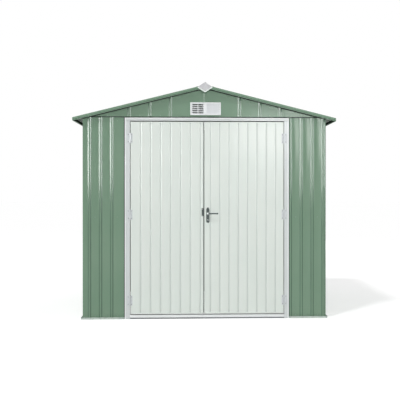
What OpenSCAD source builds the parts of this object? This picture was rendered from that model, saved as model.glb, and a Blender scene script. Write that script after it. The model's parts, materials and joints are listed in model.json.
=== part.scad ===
// Metal storage shed: ribbed steel sheets screwed to a light galvanised frame, a low
// gable roof, a vent in each gable, and a pair of hinged doors with a lever handle.
// +X is to the right, -Y is the front, Z is up. The origin is on the ground, in the
// middle of the shed.

/* [Shed] */
// Width over the flats of the side walls
wall_w = 2430; // [2200:10:3000]
// Depth over the flats of the front and back walls
wall_d = 1830; // [1400:10:2600]
// Height of the wall sheets' top edge
wall_h = 2008; // [1900:1:2300]
// Thickness of the wall and roof sheet
sheet_t = 0.6; // [0.4:0.1:1]
// Thickness of the frame's folded steel
steel_t = 1.2; // [0.8:0.1:2]

/* [Ribs] */
// Distance between ribs
rib_pitch = 110; // [80:1:150]
// Width of a rib at its foot
rib_w = 30; // [20:1:40]
// Width of a rib's flat top
rib_top = 14; // [8:1:18]
// Height of a rib
rib_h = 10; // [5:1:14]
// First rib's centre from the corner, front left, side and back sheets
first_rib = 68; // [40:1:90]
// First rib's centre from the corner, front right sheet
first_rib_right = 29; // [20:1:60]
// Distance between the ribs of a gable sheet
gable_rib_pitch = 205; // [150:5:260]
// First gable rib's centre from the middle of the gable
gable_first_rib = 345; // [250:5:400]
// Number of ribs in half a gable
gable_ribs = 3; // [2:1:3]
// Gap left between two sheets of one wall
sheet_gap = 0.4; // [0.2:0.1:0.8]

/* [Roof] */
// Rise of the roof for each unit of run
slope = 0.25; // [0.2:0.01:0.32]
// Roof beyond the flat of the side walls
eave_out = 95; // [60:5:160]
// Roof beyond the flat of the front and back walls
verge_out = 50; // [40:5:120]
// Height of the verge and eave trims' face
trim_h = 32; // [24:1:50]
// Height of the upper band on a verge trim
trim_band = 18; // [10:1:22]
// Step between a verge trim's two bands
trim_step = 3; // [2:0.5:6]
// Width of a trim's flange on the roof
trim_flange = 40; // [30:1:70]
// Half width of the ridge cap
ridge_half = 90; // [80:1:140]
// Half width of the ridge cap's end plate
end_plate_half = 78; // [60:1:80]
// Rise of the end plate above the ridge
end_plate_rise = 26; // [15:1:40]
// Drop of the end plate's lowest point below the ridge
end_plate_drop = 78; // [60:1:100]
// Depth of the end plate's rim
end_plate_d = 12; // [6:1:20]

/* [Frame] */
// Height of a base rail's outer lip
base_lip_h = 20; // [15:1:35]
// Height of a base rail's upright behind the sheet
base_web_h = 45; // [35:1:70]
// Base rail beyond the flat of the wall
base_out = 15; // [12:1:25]
// Base rail inside the flat of the wall
base_in = 45; // [40:1:80]
// Radius of an anchor hole
anchor_r = 5; // [4:0.5:8]
// Anchor holes from the flat of the side wall
anchor_in = 30; // [25:1:35]
// Distance between the anchor holes of one side rail
anchor_span = 1400; // [900:10:1700]
// Leg of a corner post
post_leg = 45; // [35:1:60]
// Height of a wall rail
rail_h = 40; // [30:1:60]
// Depth of a wall rail
rail_d = 30; // [20:1:40]
// Height of the rails half way up the walls
mid_rail_z = 1000; // [700:10:1300]
// Width of the ridge beam
ridge_beam_w = 40; // [30:1:60]
// Height of the ridge beam
ridge_beam_h = 60; // [40:1:80]
// Purlins from the middle of the roof
purlin_x = 620; // [450:10:800]
// Width of a purlin
purlin_w = 40; // [30:1:60]

/* [Doorway] */
// Clear width between the jambs
door_open_w = 1540; // [1400:10:1700]
// Doorway's middle to the right of the shed's middle
doorway_x = 24; // [-40:1:40]
// Width of the left jamb's face
jamb_left_w = 51; // [40:1:70]
// Width of the right jamb's face
jamb_right_w = 46; // [40:1:70]
// Height of the header's face
header_h = 30; // [25:1:45]
// Height of the sill
sill_h = 40; // [30:1:60]
// Height of the sill's lower, set-back part
sill_foot_h = 14; // [8:1:20]
// How far the sill's lower part is set back
sill_step = 8; // [4:1:12]
// Depth of the jambs, header and sill
jamb_d = 50; // [45:1:80]
// Jamb's lip beyond the flat of the wall
jamb_out = 14; // [12:1:20]
// Width of the lip round the door frame
jamb_lip_w = 10; // [6:1:14]
// Height of the lip above the jamb's face
jamb_lip_h = 5; // [2:1:7]
// Thickness of the door frame's profile
jamb_t = 1.6; // [1.2:0.1:2.5]

/* [Doors] */
// Place of the meeting line, from the left jamb
meeting_x = 735; // [700:1:840]
// Gap between the two doors
meeting_gap = 10; // [9:1:14]
// Gap between a door and its jamb
door_side_gap = 6; // [5:0.5:10]
// Gap above the doors
door_top_gap = 10; // [6:1:16]
// Gap below the doors
door_bottom_gap = 12; // [6:1:20]
// Thickness of a door
door_t = 30; // [26:1:45]
// Width of a groove in the door sheet
groove_w = 22; // [14:1:30]
// Width of a groove's floor
groove_floor = 10; // [4:1:12]
// Depth of a groove
groove_d = 5; // [3:0.5:6]
// Number of grooves in the left door
grooves_left = 7; // [5:1:7]
// First groove's centre from the left door's hinged edge
groove_first_left = 100; // [60:1:105]
// Distance between the left door's grooves
groove_pitch_left = 99; // [60:1:99]
// Number of grooves in the right door
grooves_right = 8; // [5:1:8]
// First groove's centre from the right door's free edge
groove_first_right = 61; // [55:1:110]
// Distance between the right door's grooves
groove_pitch_right = 93; // [60:1:96]
// Height of the folded cap along a door's top and bottom
cap_h = 12; // [8:1:20]
// Width of a door's stiles and rails
stile_w = 30; // [25:1:40]
// Width of the stile that carries the lock
lock_stile_w = 62; // [55:1:80]

/* [Hinges] */
// Height of a hinge
hinge_h = 100; // [80:1:120]
// Width of a hinge leaf on the jamb
jamb_leaf_w = 28; // [20:1:30]
// Width of a hinge leaf on a door
door_leaf_w = 17; // [12:1:30]
// Thickness of a hinge leaf
hinge_leaf_t = 2; // [1.5:0.1:3]
// Radius of a hinge knuckle
knuckle_r = 5; // [5:0.5:6]
// Radius of a hinge pin
pin_r = 2.5; // [2:0.25:3]
// Running clearance round a hinge pin
pin_clear = 0.15; // [0.05:0.05:0.3]
// Gap between two knuckles
knuckle_gap = 0.8; // [0.4:0.1:1.5]
// Height of a hinge's middle above the doors' bottom, lowest to highest
hinge_z = [133, 988, 1750];

/* [Handle] */
// Height of the lever's axis
lever_z = 1050; // [950:5:1150]
// Lever's axis from the right door's free edge
lever_x = 35; // [30:1:40]
// Width of the handle plate
plate_w = 32; // [28:1:36]
// Handle plate above the lever's axis
plate_up = 65; // [50:1:80]
// Handle plate below the lever's axis
plate_down = 95; // [70:1:120]
// Radius of the two arcs that meet at the handle plate's point
plate_arch_r = 38; // [30:1:50]
// Thickness of the handle plate
plate_t = 4; // [3:0.5:6]
// Length of the lever, from its axis
lever_len = 103; // [90:1:125]
// Radius of the lever's bar
lever_r = 6; // [5:0.5:8]
// Radius of the knob at the lever's end
lever_end_r = 8; // [7:0.5:10]
// Radius of the lever's hub
hub_r = 12; // [10:0.5:14]
// Lever's bar in front of the handle plate
lever_out = 30; // [25:1:34]
// Radius of the spindle
spindle_r = 5; // [4:0.5:6]
// Clearance round the spindle and the hub
spindle_clear = 1; // [0.5:0.5:2]
// Width of the strike plate on the left door
strike_w = 18; // [14:1:30]
// Height of the strike plate
strike_h = 80; // [60:1:110]
// Thickness of the strike plate
strike_t = 1.5; // [1:0.1:2]
// Depth of the strike plate's return over the door's edge
strike_return = 24; // [15:1:26]
// Latch beyond the right door's free edge
latch_out = 3; // [1:0.5:3]

/* [Vent] */
// Width of a vent
vent_w = 305; // [240:5:340]
// Height of a vent
vent_h = 127; // [100:1:140]
// Height of a vent's lower edge
vent_z = 2033; // [2033:1:2060]
// Vent's middle from the gable's middle
vent_x = 6; // [0:1:20]
// Width of the vent frame's border
vent_border = 14; // [10:1:20]
// Width of the bar between the vent's halves
vent_bar = 26; // [16:1:34]
// Depth of the vent frame in front of the sheet
vent_out = 12; // [8:1:16]
// Rows of slots in the grille
vent_rows = 5; // [3:1:7]
// Width of the bars between the grille's slots
grille_bar = 8; // [4:0.5:10]
// Thickness of the grille and of a louvre
grille_t = 2; // [1.5:0.5:3]

/* [Hidden] */

green = [0.46, 0.57, 0.49];
mint = [0.86, 0.89, 0.87];
silver = [0.81, 0.83, 0.83];
zinc = [0.66, 0.69, 0.68];
iron = [0.27, 0.30, 0.31];
white = [0.93, 0.94, 0.94];
pale_grey = [0.78, 0.78, 0.79];

seat = 0.3;              // gap between pieces that are screwed together
flush = 0.1;             // gap under a piece that lies flat on a face
big = 2 * (wall_w + wall_d);
half_w = wall_w / 2;
half_d = wall_d / 2;
web = sheet_t + steel_t; // from a wall's flat to the inside of the steel behind it

// the roof: underside of the sheet's pans, tops of its ribs, and the line of the trims
pitch = atan(slope);
rail_top = wall_h - 3;
gable_z = wall_h + 10;
roof_clear = 6;          // from the side sheets' top edge to the roof above it
eave_x = half_w + eave_out;
pan_z = wall_h + roof_clear + half_w * slope;
rib_lift = (rib_h + sheet_t) / cos(pitch);
trim_lift = rib_lift + seat + steel_t / cos(pitch);
function pan(x) = pan_z - abs(x) * slope;
verge_y = half_d + verge_out;
ridge_z = pan(0) + trim_lift;

// the doorway
open_x0 = doorway_x - door_open_w / 2;
open_x1 = doorway_x + door_open_w / 2;
frame_x0 = open_x0 - jamb_left_w;
frame_x1 = open_x1 + jamb_right_w;
header_top = rail_top;
header_z = header_top - header_h;
frame_y = -half_d - jamb_out;
face_y = frame_y + jamb_lip_h;   // the jambs' faces and the doors' fronts

// the doors
door_z0 = sill_h + door_bottom_gap;
door_z1 = header_z - door_top_gap;
left_x0 = open_x0 + door_side_gap;
left_x1 = open_x0 + meeting_x - meeting_gap / 2;
right_x0 = left_x1 + meeting_gap;
right_x1 = open_x1 - door_side_gap;
pin_y = face_y - knuckle_r;
left_pin_x = (open_x0 + left_x0) / 2;
right_pin_x = (open_x1 + right_x1) / 2;
axis_x = right_x0 + lever_x;
cap_t = 1;
stile_y = face_y + groove_d + sheet_t + seat;
door_back = face_y + door_t;

// ---------- shared shapes ----------

// one line of a ribbed sheet, moved in by `t` from the side that the ribs stand on
function rib_line(centres, w, top, h, t) =
    let (dx = t * tan(atan2(h, (w - top) / 2) / 2))
    [for (c = centres) each [
        [c - w / 2 + dx, t], [c - top / 2 + dx, t - h],
        [c + top / 2 - dx, t - h], [c + w / 2 - dx, t]]];

function back_to_front(points) = [for (i = [len(points) - 1 : -1 : 0]) points[i]];

// centres of the ribs of a sheet from a to b, starting at `first` and `step` apart
function rib_places(a, b, first, step) = [for (c = [first : step : b - rib_w / 2])
    if (c - rib_w / 2 >= a) c];

// plan of a ribbed sheet from a to b, its flat on y = 0 and its ribs on the -y side
module rib_plan(a, b, centres) {
    polygon(concat([[a, 0]], rib_line(centres, rib_w, rib_top, rib_h, 0), [[b, 0], [b, sheet_t]],
        back_to_front(rib_line(centres, rib_w, rib_top, rib_h, sheet_t)), [[a, sheet_t]]));
}

// wall sheets side by side from a to b, with ribs from `first`, split into `count` sheets
module wall_sheets(a, b, first, count) {
    all = rib_places(a, b, first, rib_pitch);
    cuts = [for (i = [0 : count]) i == 0 ? a : i == count ? b
        : all[round(i * len(all) / count)] - rib_pitch / 2];
    for (i = [0 : count - 1]) {
        from = cuts[i] + (i == 0 ? 0 : sheet_gap / 2);
        to = cuts[i + 1] - (i == count - 1 ? 0 : sheet_gap / 2);
        translate([0, 0, steel_t])
            linear_extrude(wall_h - steel_t)
                rib_plan(from, to, [for (c = all) if (c > from && c < to) c]);
    }
}

// puts what is drawn for the front wall on another wall: 0 front, 1 right, 2 back, 3 left
module on_wall(side) {
    rotate(90 * side) translate([0, side % 2 == 0 ? -half_d : -half_w, 0]) children();
}

// channel along X behind a sheet, its web on the sheet, open to the inside
module wall_channel(a, b, z0, z1, depth) {
    translate([a, 0, 0]) rotate([90, 0, 90]) linear_extrude(b - a) polygon([
        [sheet_t, z0], [depth, z0], [depth, z0 + steel_t], [web, z0 + steel_t],
        [web, z1 - steel_t], [depth, z1 - steel_t], [depth, z1], [sheet_t, z1]]);
}

// outline drawn in X and Z, from y0 back to y1
module across(y0, y1) {
    translate([0, y1, 0]) rotate([90, 0, 0]) linear_extrude(y1 - y0) children();
}

// band that follows one side of the roof from x0 to x1, between two heights over the pans
module roof_band(x0, x1, low, high) {
    polygon([[x0, pan(x0) + low], [x1, pan(x1) + low], [x1, pan(x1) + high],
        [x0, pan(x0) + high]]);
}

module left_and_right() {
    children();
    mirror([1, 0, 0]) children();
}

module front_and_back() {
    children();
    mirror([0, 1, 0]) children();
}

// ---------- base ----------

module base_profile() {
    polygon([[-base_out, 0], [base_in, 0], [base_in, steel_t], [web, steel_t], [web, base_web_h],
        [sheet_t + seat, base_web_h], [sheet_t + seat, steel_t], [steel_t - base_out, steel_t],
        [steel_t - base_out, base_lip_h], [-base_out, base_lip_h]]);
}

// one base rail along a wall, mitred at both corners
module base_rail(side) {
    long = side % 2 == 0 ? half_w : half_d;
    on_wall(side) intersection() {
        translate([-long - base_out, 0, 0]) rotate([90, 0, 90])
            linear_extrude(2 * (long + base_out)) base_profile();
        linear_extrude(base_web_h + 1) polygon([
            [-long - base_out, -base_out], [long + base_out, -base_out],
            [long - base_in, base_in], [base_in - long, base_in]]);
    }
}

module base_rail_front() {
    color(zinc) difference() {
        base_rail(0);
        translate([frame_x0, -half_d - base_out - 1, -1])
            cube([frame_x1 - frame_x0, base_out + base_in + 2, base_web_h + 2]);
    }
}

module base_rail_back() {
    color(zinc) base_rail(2);
}

module anchor_holes() {
    left_and_right() front_and_back()
        translate([half_w - anchor_in, anchor_span / 2, -1])
            cylinder(r = anchor_r, h = steel_t + 2, $fn = 32);
}

module base_rail_left() {
    color(zinc) difference() {
        base_rail(3);
        anchor_holes();
    }
}

module base_rail_right() {
    color(zinc) difference() {
        base_rail(1);
        anchor_holes();
    }
}

// ---------- wall frame ----------

module corner_posts() {
    color(zinc) left_and_right() front_and_back()
        translate([web - half_w, web - half_d, steel_t])
            linear_extrude(rail_top - steel_t) polygon([[0, 0], [post_leg, 0],
                [post_leg, steel_t], [steel_t, steel_t], [steel_t, post_leg], [0, post_leg]]);
}

module mid_rails() {
    end = web + post_leg + seat;
    color(zinc) for (side = [1, 2, 3]) {
        long = side == 2 ? half_w : half_d;
        on_wall(side) wall_channel(end - long, long - end, mid_rail_z - rail_h / 2,
            mid_rail_z + rail_h / 2, rail_d);
    }
}

// rail on top of the posts: its lip carries the gable sheet, below that it is open to the
// outside, and its ends are cut to the roof
module end_top_rail() {
    long = half_w - sheet_t - seat;
    z0 = rail_top;
    z1 = rail_top + rail_h;
    lip_z = gable_z + 2;
    intersection() {
        translate([-long, -half_d, 0]) rotate([90, 0, 90]) linear_extrude(2 * long) polygon([
            [sheet_t, z0], [rail_d, z0], [rail_d, z1], [sheet_t, z1], [sheet_t, lip_z],
            [web, lip_z], [web, z1 - steel_t], [rail_d - steel_t, z1 - steel_t],
            [rail_d - steel_t, z0 + steel_t], [sheet_t, z0 + steel_t]]);
        left_and_right() across(-big, big) roof_band(0, half_w, -big, -seat);
    }
}

module top_rail_front() {
    color(zinc) end_top_rail();
}

module top_rail_back() {
    color(zinc) mirror([0, 1, 0]) end_top_rail();
}

module top_rails_side() {
    end = web + post_leg + seat;
    top = pan(half_w - sheet_t) - seat;
    color(zinc) for (side = [1, 3])
        on_wall(side) wall_channel(end - half_d, half_d - end, top - rail_h, top, rail_d);
}

// ---------- roof frame ----------

module rafter() {
    low_z = rail_top + rail_h + seat;
    start = ridge_beam_w / 2 + seat;
    low_x = (pan_z - seat - low_z) / slope;
    rafter_outline = [[start, pan(start) - seat], [low_x, low_z],
        [low_x - rail_h / slope, low_z], [start, pan(start) - seat - rail_h]];
    across(sheet_t - half_d, web - half_d) polygon(rafter_outline);
    across(sheet_t - half_d, rail_d - half_d)
        roof_band(start, low_x - steel_t / slope, -seat - steel_t, -seat);
}

module rafters() {
    color(zinc) left_and_right() front_and_back() rafter();
}

module ridge_beam() {
    top = pan(ridge_beam_w / 2) - seat;
    inside = ridge_beam_w - 2 * steel_t;
    end = half_d - sheet_t - seat;
    color(zinc) across(-end, end) translate([0, top - ridge_beam_h]) difference() {
        translate([-ridge_beam_w / 2, 0]) square([ridge_beam_w, ridge_beam_h]);
        translate([-inside / 2, steel_t]) square([inside, ridge_beam_h - 2 * steel_t]);
    }
}

module purlins() {
    end = half_d - rail_d - seat;
    x0 = purlin_x - purlin_w / 2;
    x1 = purlin_x + purlin_w / 2;
    color(zinc) left_and_right() across(-end, end) difference() {
        roof_band(x0, x1, -seat - rail_h, -seat);
        roof_band(x0 + steel_t, x1 - steel_t, -seat - rail_h + steel_t, -seat - steel_t);
    }
}

// ---------- wall sheets ----------

module front_wall_left() {
    color(green) on_wall(0) wall_sheets(-half_w, frame_x0, first_rib - half_w, 1);
}

module front_wall_right() {
    color(green) on_wall(0) mirror([1, 0, 0])
        wall_sheets(-half_w, -frame_x1, first_rib_right - half_w, 1);
}

// the side sheets stop inside the front and back sheets
module side_wall(side) {
    end = half_d - sheet_t - sheet_gap;
    on_wall(side) wall_sheets(-end, end, first_rib - half_d, 2);
}

module left_wall() {
    color(green) side_wall(3);
}

module right_wall() {
    color(green) side_wall(1);
}

module back_wall() {
    color(green) on_wall(2) wall_sheets(-half_w, half_w, first_rib - half_w, 3);
}

// ---------- gables ----------

lap_half = 10;
lap_out = 3;
hair = 0.01;             // keeps a cut off the face behind it
vent_x0 = vent_x - vent_w / 2;

// plan of a gable sheet; the one with the lap is stepped out over the other's edge
module gable_plan(end, has_lap, centres) {
    shift = sheet_t / 2;
    polygon(concat(has_lap ? [[-lap_half, -lap_out], [lap_half - lap_out, -lap_out],
        [lap_half, 0]] : [[-lap_half / 2, 0]],
        rib_line(centres, rib_w, rib_top, rib_h, 0), [[end, 0], [end, sheet_t]],
        back_to_front(rib_line(centres, rib_w, rib_top, rib_h, sheet_t)),
        has_lap ? [[lap_half - shift, sheet_t], [lap_half - lap_out - shift, sheet_t - lap_out],
        [-lap_half, sheet_t - lap_out]] : [[-lap_half / 2, sheet_t]]));
}

// right half of a gable, its ribs upright and its top edge cut to the roof; the half
// with the lap reaches over the other one at the middle
module gable_half(has_lap) {
    end = (pan_z - seat - gable_z) / slope;
    places = [for (i = [0 : gable_ribs - 1]) gable_first_rib + i * gable_rib_pitch];
    low = vent_x0 + vent_border;
    flip = has_lap ? -1 : 1;
    difference() {
        intersection() {
            translate([0, -half_d, gable_z]) linear_extrude(pan_z - gable_z)
                gable_plan(end, has_lap, places);
            across(-big, big) polygon([[-2 * lap_half, gable_z], [end, gable_z],
                [0, pan_z - seat], [-2 * lap_half, pan(2 * lap_half) - seat]]);
        }
        translate([flip > 0 ? low : -low - vent_w + 2 * vent_border, -half_d - rib_h - 1,
            vent_z + vent_border])
            cube([vent_w - 2 * vent_border, rib_h + 2, vent_h - 2 * vent_border]);
        translate([-2 * lap_half, -half_d - 2 * lap_out, vent_z - 1])
            cube([4 * lap_half, 2 * lap_out - hair, vent_h + 2]);
    }
}

module front_gable_left() {
    color(green) mirror([1, 0, 0]) gable_half(true);
}

module front_gable_right() {
    color(green) gable_half(false);
}

module back_gable_left() {
    color(green) rotate(180) gable_half(false);
}

module back_gable_right() {
    color(green) rotate(180) mirror([1, 0, 0]) gable_half(true);
}

// ---------- roof sheets and trims ----------

roof_end = verge_y - steel_t - seat;

// right half of the roof: ribs run from the ridge down to the eave
module roof_half() {
    ridge_gap = 2;
    run = (eave_x - steel_t - 2 * trim_step - ridge_gap) / cos(pitch);
    places = rib_places(-roof_end, roof_end, first_rib - roof_end, rib_pitch);
    translate([ridge_gap, 0, pan(ridge_gap)]) rotate([0, pitch, 0]) rotate([0, 90, 0])
        linear_extrude(run) rotate(-90) translate([0, -sheet_t])
            rib_plan(-roof_end, roof_end, places);
}

module roof_right() {
    color(green) roof_half();
}

module roof_left() {
    color(green) mirror([1, 0, 0]) roof_half();
}

module ridge_cap() {
    low = trim_lift + seat;
    high = low + steel_t / cos(pitch);
    color(green) across(-verge_y, verge_y) polygon([[-ridge_half, pan(ridge_half) + low],
        [0, pan(0) + low], [ridge_half, pan(ridge_half) + low],
        [ridge_half, pan(ridge_half) + high], [0, pan(0) + high],
        [-ridge_half, pan(ridge_half) + high]]);
}

// four-cornered plate over the meeting of the verge trims, smaller by `inset`
module end_plate_outline(inset) {
    wide_z = pan(end_plate_half) + trim_lift - trim_band / 2;
    polygon([[0, ridge_z + end_plate_rise - inset], [end_plate_half - inset, wide_z],
        [0, ridge_z - end_plate_drop + inset], [inset - end_plate_half, wide_z]]);
}

module ridge_end_plates() {
    rim = 2.5;
    front = -verge_y - end_plate_d - seat;
    color(pale_grey) front_and_back() difference() {
        across(front, front + end_plate_d) end_plate_outline(0);
        across(front + rim, front + end_plate_d + 1) end_plate_outline(2 * rim);
    }
}

// face in two bands with a step between them, and a flange on the roof's ribs
module verge_trim() {
    start = 0.2;
    top = trim_lift;
    thick = steel_t / cos(pitch);
    face = -verge_y;
    low_face = face + trim_step;
    across(face, face + steel_t) roof_band(start, eave_x, top - trim_band, top);
    across(face, face + trim_flange) roof_band(start, eave_x, top - thick, top);
    across(face, low_face + steel_t)
        roof_band(start, eave_x, top - trim_band - thick, top - trim_band);
    across(low_face, low_face + steel_t)
        roof_band(start, eave_x, top - trim_h, top - trim_band);
}

module verge_trims_front() {
    color(green) left_and_right() difference() {
        verge_trim();
        roof_clearance();
    }
}

module verge_trims_back() {
    color(green) mirror([0, 1, 0]) left_and_right() difference() {
        verge_trim();
        roof_clearance();
    }
}

// room for the roof sheet's end behind a verge trim's lower band
module roof_clearance() {
    across(-roof_end - seat, -roof_end + trim_flange)
        roof_band(-1, eave_x - steel_t - trim_step, -seat, rib_lift + seat / 2);
}

module eave_trim() {
    end = verge_y - trim_step - steel_t - seat;
    lip = 12;
    top = pan(eave_x) + trim_lift - trim_band / 2;
    low = pan(eave_x) + trim_lift - trim_h;
    inner = eave_x - steel_t;
    across(-end, end) polygon([[eave_x, low], [eave_x, top], [inner, top],
        [inner, low + steel_t], [inner - lip, low + steel_t], [inner - lip, low]]);
}

module eave_trim_right() {
    color(green) eave_trim();
}

module eave_trim_left() {
    color(green) mirror([1, 0, 0]) eave_trim();
}

// ---------- vents ----------

vent_cell_w = (vent_w - 2 * vent_border - vent_bar) / 2;
vent_cell_h = vent_h - 2 * vent_border;
vent_depth = 8;          // how far a vent reaches in behind the sheet

module vent_cells(grow) {
    for (x = [vent_x0 + vent_border, vent_x0 + vent_border + vent_cell_w + vent_bar])
        translate([x - grow, vent_z + vent_border - grow])
            square([vent_cell_w + 2 * grow, vent_cell_h + 2 * grow]);
}

module vent_frame() {
    collar = 1;
    across(-half_d - vent_out, -half_d - flush) difference() {
        translate([vent_x0, vent_z]) square([vent_w, vent_h]);
        vent_cells(0);
    }
    across(-half_d - 1, -half_d + vent_depth) difference() {
        translate([vent_x0 + vent_border + collar, vent_z + vent_border + collar])
            square([vent_w - 2 * vent_border - 2 * collar, vent_cell_h - 2 * collar]);
        vent_cells(-collar - grille_t);
    }
}

module vent_frames() {
    color(white) vent_frame();
    color(white) rotate(180) vent_frame();
}

module vent_grille() {
    pitch_z = vent_cell_h / vent_rows;
    slot_w = (vent_cell_w - 3 * grille_bar) / 2;
    back = -half_d - 1 - seat;
    across(back - grille_t, back) difference() {
        translate([vent_x0 + vent_border + seat, vent_z + vent_border + seat])
            square([vent_cell_w - 2 * seat, vent_cell_h - 2 * seat]);
        for (row = [0 : vent_rows - 1], side = [0, 1])
            translate([vent_x0 + vent_border + grille_bar + side * (slot_w + grille_bar),
                vent_z + vent_border + row * pitch_z + grille_bar / 2])
                square([slot_w, pitch_z - grille_bar]);
    }
}

module vent_grilles() {
    color(white) vent_grille();
    color(white) rotate(180) vent_grille();
}

// closed shutter: a plate with one sloping louvre a row
module vent_shutter() {
    pitch_z = vent_cell_h / vent_rows;
    x0 = vent_x0 + vent_border + vent_cell_w + vent_bar + seat;
    back = -half_d - 1 - seat;
    translate([x0, 0, vent_z + vent_border]) rotate([90, 0, 90])
        linear_extrude(vent_cell_w - 2 * seat)
            polygon(concat([[back, seat]], [for (row = [0 : vent_rows - 1]) each [
                [back - 3 * grille_t, row * pitch_z + (row == 0 ? seat : 0)],
                [back - grille_t, (row + 1) * pitch_z - (row == vent_rows - 1 ? seat : 0)]]],
                [[back, vent_cell_h - seat]]));
}

module vent_shutters() {
    color(white) vent_shutter();
    color(white) rotate(180) vent_shutter();
}

// ---------- door frame ----------

// section of a jamb: lip on the outer side at x = 0, face towards the doorway
module jamb_section(w) {
    t = jamb_t;
    lip = jamb_lip_w;
    slant = 2;
    difference() {
        polygon([[0, 0], [lip, 0], [lip + slant, jamb_lip_h], [w, jamb_lip_h], [w, jamb_d],
            [0, jamb_d]]);
        polygon([[t, t], [lip - t / 2, t], [lip + slant - t / 2, jamb_lip_h + t],
            [w - t, jamb_lip_h + t], [w - t, jamb_d - t], [t, jamb_d - t]]);
    }
}

module door_jamb_left() {
    color(silver) translate([frame_x0, frame_y, 0])
        linear_extrude(header_z - seat) jamb_section(jamb_left_w);
}

module door_jamb_right() {
    color(silver) translate([frame_x1, frame_y, 0]) mirror([1, 0, 0])
        linear_extrude(header_z - seat) jamb_section(jamb_right_w);
}

// the header lies on both jambs, and its lip turns down at its ends
module door_header() {
    color(silver) {
        translate([frame_x0, frame_y, header_top]) rotate([0, 90, 0])
            linear_extrude(frame_x1 - frame_x0) jamb_section(header_h);
        for (x = [frame_x0, frame_x1 - jamb_lip_w])
            translate([x, frame_y, header_z]) cube([jamb_lip_w, jamb_lip_h + 1, header_h - 1]);
    }
}

// sill from its front at y = 0: its foot is set back under its face
module sill_section(t) {
    deep = jamb_d - jamb_lip_h;
    polygon([[sill_step + t, t], [deep - t, t], [deep - t, sill_h - t], [t, sill_h - t],
        [t, sill_foot_h + t], [sill_step + t, sill_foot_h + t]]);
}

module door_sill() {
    color(silver) translate([open_x0 + seat, face_y, 0]) rotate([90, 0, 90])
        linear_extrude(door_open_w - 2 * seat) difference() {
            sill_section(0);
            sill_section(jamb_t);
        }
}

// ---------- hinges ----------

knuckle_h = hinge_h / 3;

// one hinge leaf with its knuckles, its pin on the origin and its plate towards -x;
// `ends` gives it the outer two knuckles, else the middle one
module hinge_leaf(ends) {
    places = ends ? [0, 2] : [1];
    leaf_w = ends ? jamb_leaf_w : door_leaf_w;
    trim = ends ? 0 : knuckle_gap;
    edge = knuckle_r + 1;
    difference() {
        union() {
            translate([-edge - leaf_w + 1, knuckle_r - hinge_leaf_t, 0])
                cube([leaf_w - 1, hinge_leaf_t - flush, hinge_h]);
            for (i = places) translate([0, 0, i * knuckle_h + trim]) {
                cylinder(r = knuckle_r - flush, h = knuckle_h - 2 * trim, $fn = 32);
                translate([-edge - 1, knuckle_r - hinge_leaf_t, 0])
                    cube([edge + 1, hinge_leaf_t - flush, knuckle_h - 2 * trim]);
            }
        }
        translate([0, 0, -1]) cylinder(r = pin_r + pin_clear, h = hinge_h + 2, $fn = 32);
    }
}

module hinges(ends, pin_x, plate_side) {
    for (z = hinge_z) translate([pin_x, pin_y, door_z0 + z - hinge_h / 2])
        mirror([plate_side > 0 ? 1 : 0, 0, 0]) hinge_leaf(ends);
}

module jamb_hinges() {
    color(silver) hinges(true, left_pin_x, -1);
    color(silver) hinges(true, right_pin_x, 1);
}

module left_door_hinges() {
    color(silver) hinges(false, left_pin_x, 1);
}

module right_door_hinges() {
    color(silver) hinges(false, right_pin_x, -1);
}

// pins with a flat head on top of the upper knuckle
module hinge_pins() {
    head_h = 1.5;
    color(silver) for (x = [left_pin_x, right_pin_x], z = hinge_z)
        translate([x, pin_y, door_z0 + z - hinge_h / 2]) {
            cylinder(r = pin_r, h = hinge_h + flush + head_h, $fn = 32);
            translate([0, 0, hinge_h + flush])
                cylinder(r = knuckle_r - 1, h = head_h, $fn = 32);
        }
}

// ---------- doors ----------

// door sheet from a to b, its edges folded back
module door_sheet(a, b, count, first, step) {
    places = [for (i = [0 : count - 1]) a + first + i * step];
    z0 = door_z0 + cap_t + seat;
    translate([0, face_y, z0]) linear_extrude(door_z1 - cap_t - seat - z0)
        polygon(concat([[a, door_t], [a, 0]],
            rib_line(places, groove_w, groove_floor, -groove_d, 0),
            [[b, 0], [b, door_t], [b - sheet_t, door_t], [b - sheet_t, sheet_t]],
            back_to_front(rib_line(places, groove_w, groove_floor, -groove_d, sheet_t)),
            [[a + sheet_t, sheet_t], [a + sheet_t, door_t]]));
}

// square tube between two corners given in X and Z
module door_tube(x0, x1, z0, z1) {
    tall = z1 - z0 > x1 - x0;
    long = tall ? z1 - z0 : x1 - x0;
    wide = tall ? x1 - x0 : z1 - z0;
    deep = door_back - stile_y;
    translate([x0, stile_y, tall ? z0 : z1]) rotate([0, tall ? 0 : 90, 0])
        linear_extrude(long) difference() {
            square([wide, deep]);
            translate([steel_t, steel_t]) square([wide - 2 * steel_t, deep - 2 * steel_t]);
        }
}

// cap folded over the sheet's end; `up` is 1 at the top and -1 at the bottom
module door_cap(x0, x1, z, up) {
    translate([x0, 0, z]) mirror([0, 0, up > 0 ? 1 : 0]) rotate([90, 0, 90])
        linear_extrude(x1 - x0) polygon([[face_y - cap_t - flush, 0], [door_back, 0],
            [door_back, cap_t], [face_y - flush, cap_t], [face_y - flush, cap_h],
            [face_y - cap_t - flush, cap_h]]);
}

// stiles, top, middle and bottom rails, and the two caps
module door_frame(x0, x1, left_w, right_w) {
    a = x0 + sheet_t + seat;
    b = x1 - sheet_t - seat;
    z0 = door_z0 + cap_t + seat;
    z1 = door_z1 - cap_t - seat;
    door_tube(a, a + left_w, z0, z1);
    door_tube(b - right_w, b, z0, z1);
    for (z = [z0, (z0 + z1 - stile_w) / 2, z1 - stile_w])
        door_tube(a + left_w + seat, b - right_w - seat, z, z + stile_w);
    door_cap(x0, x1, door_z0, -1);
    door_cap(x0, x1, door_z1, 1);
}

// bore along Y at the lever's axis
module lever_bore(r, y0, y1) {
    translate([axis_x, y1, lever_z]) rotate([90, 0, 0]) cylinder(r = r, h = y1 - y0, $fn = 48);
}

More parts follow.
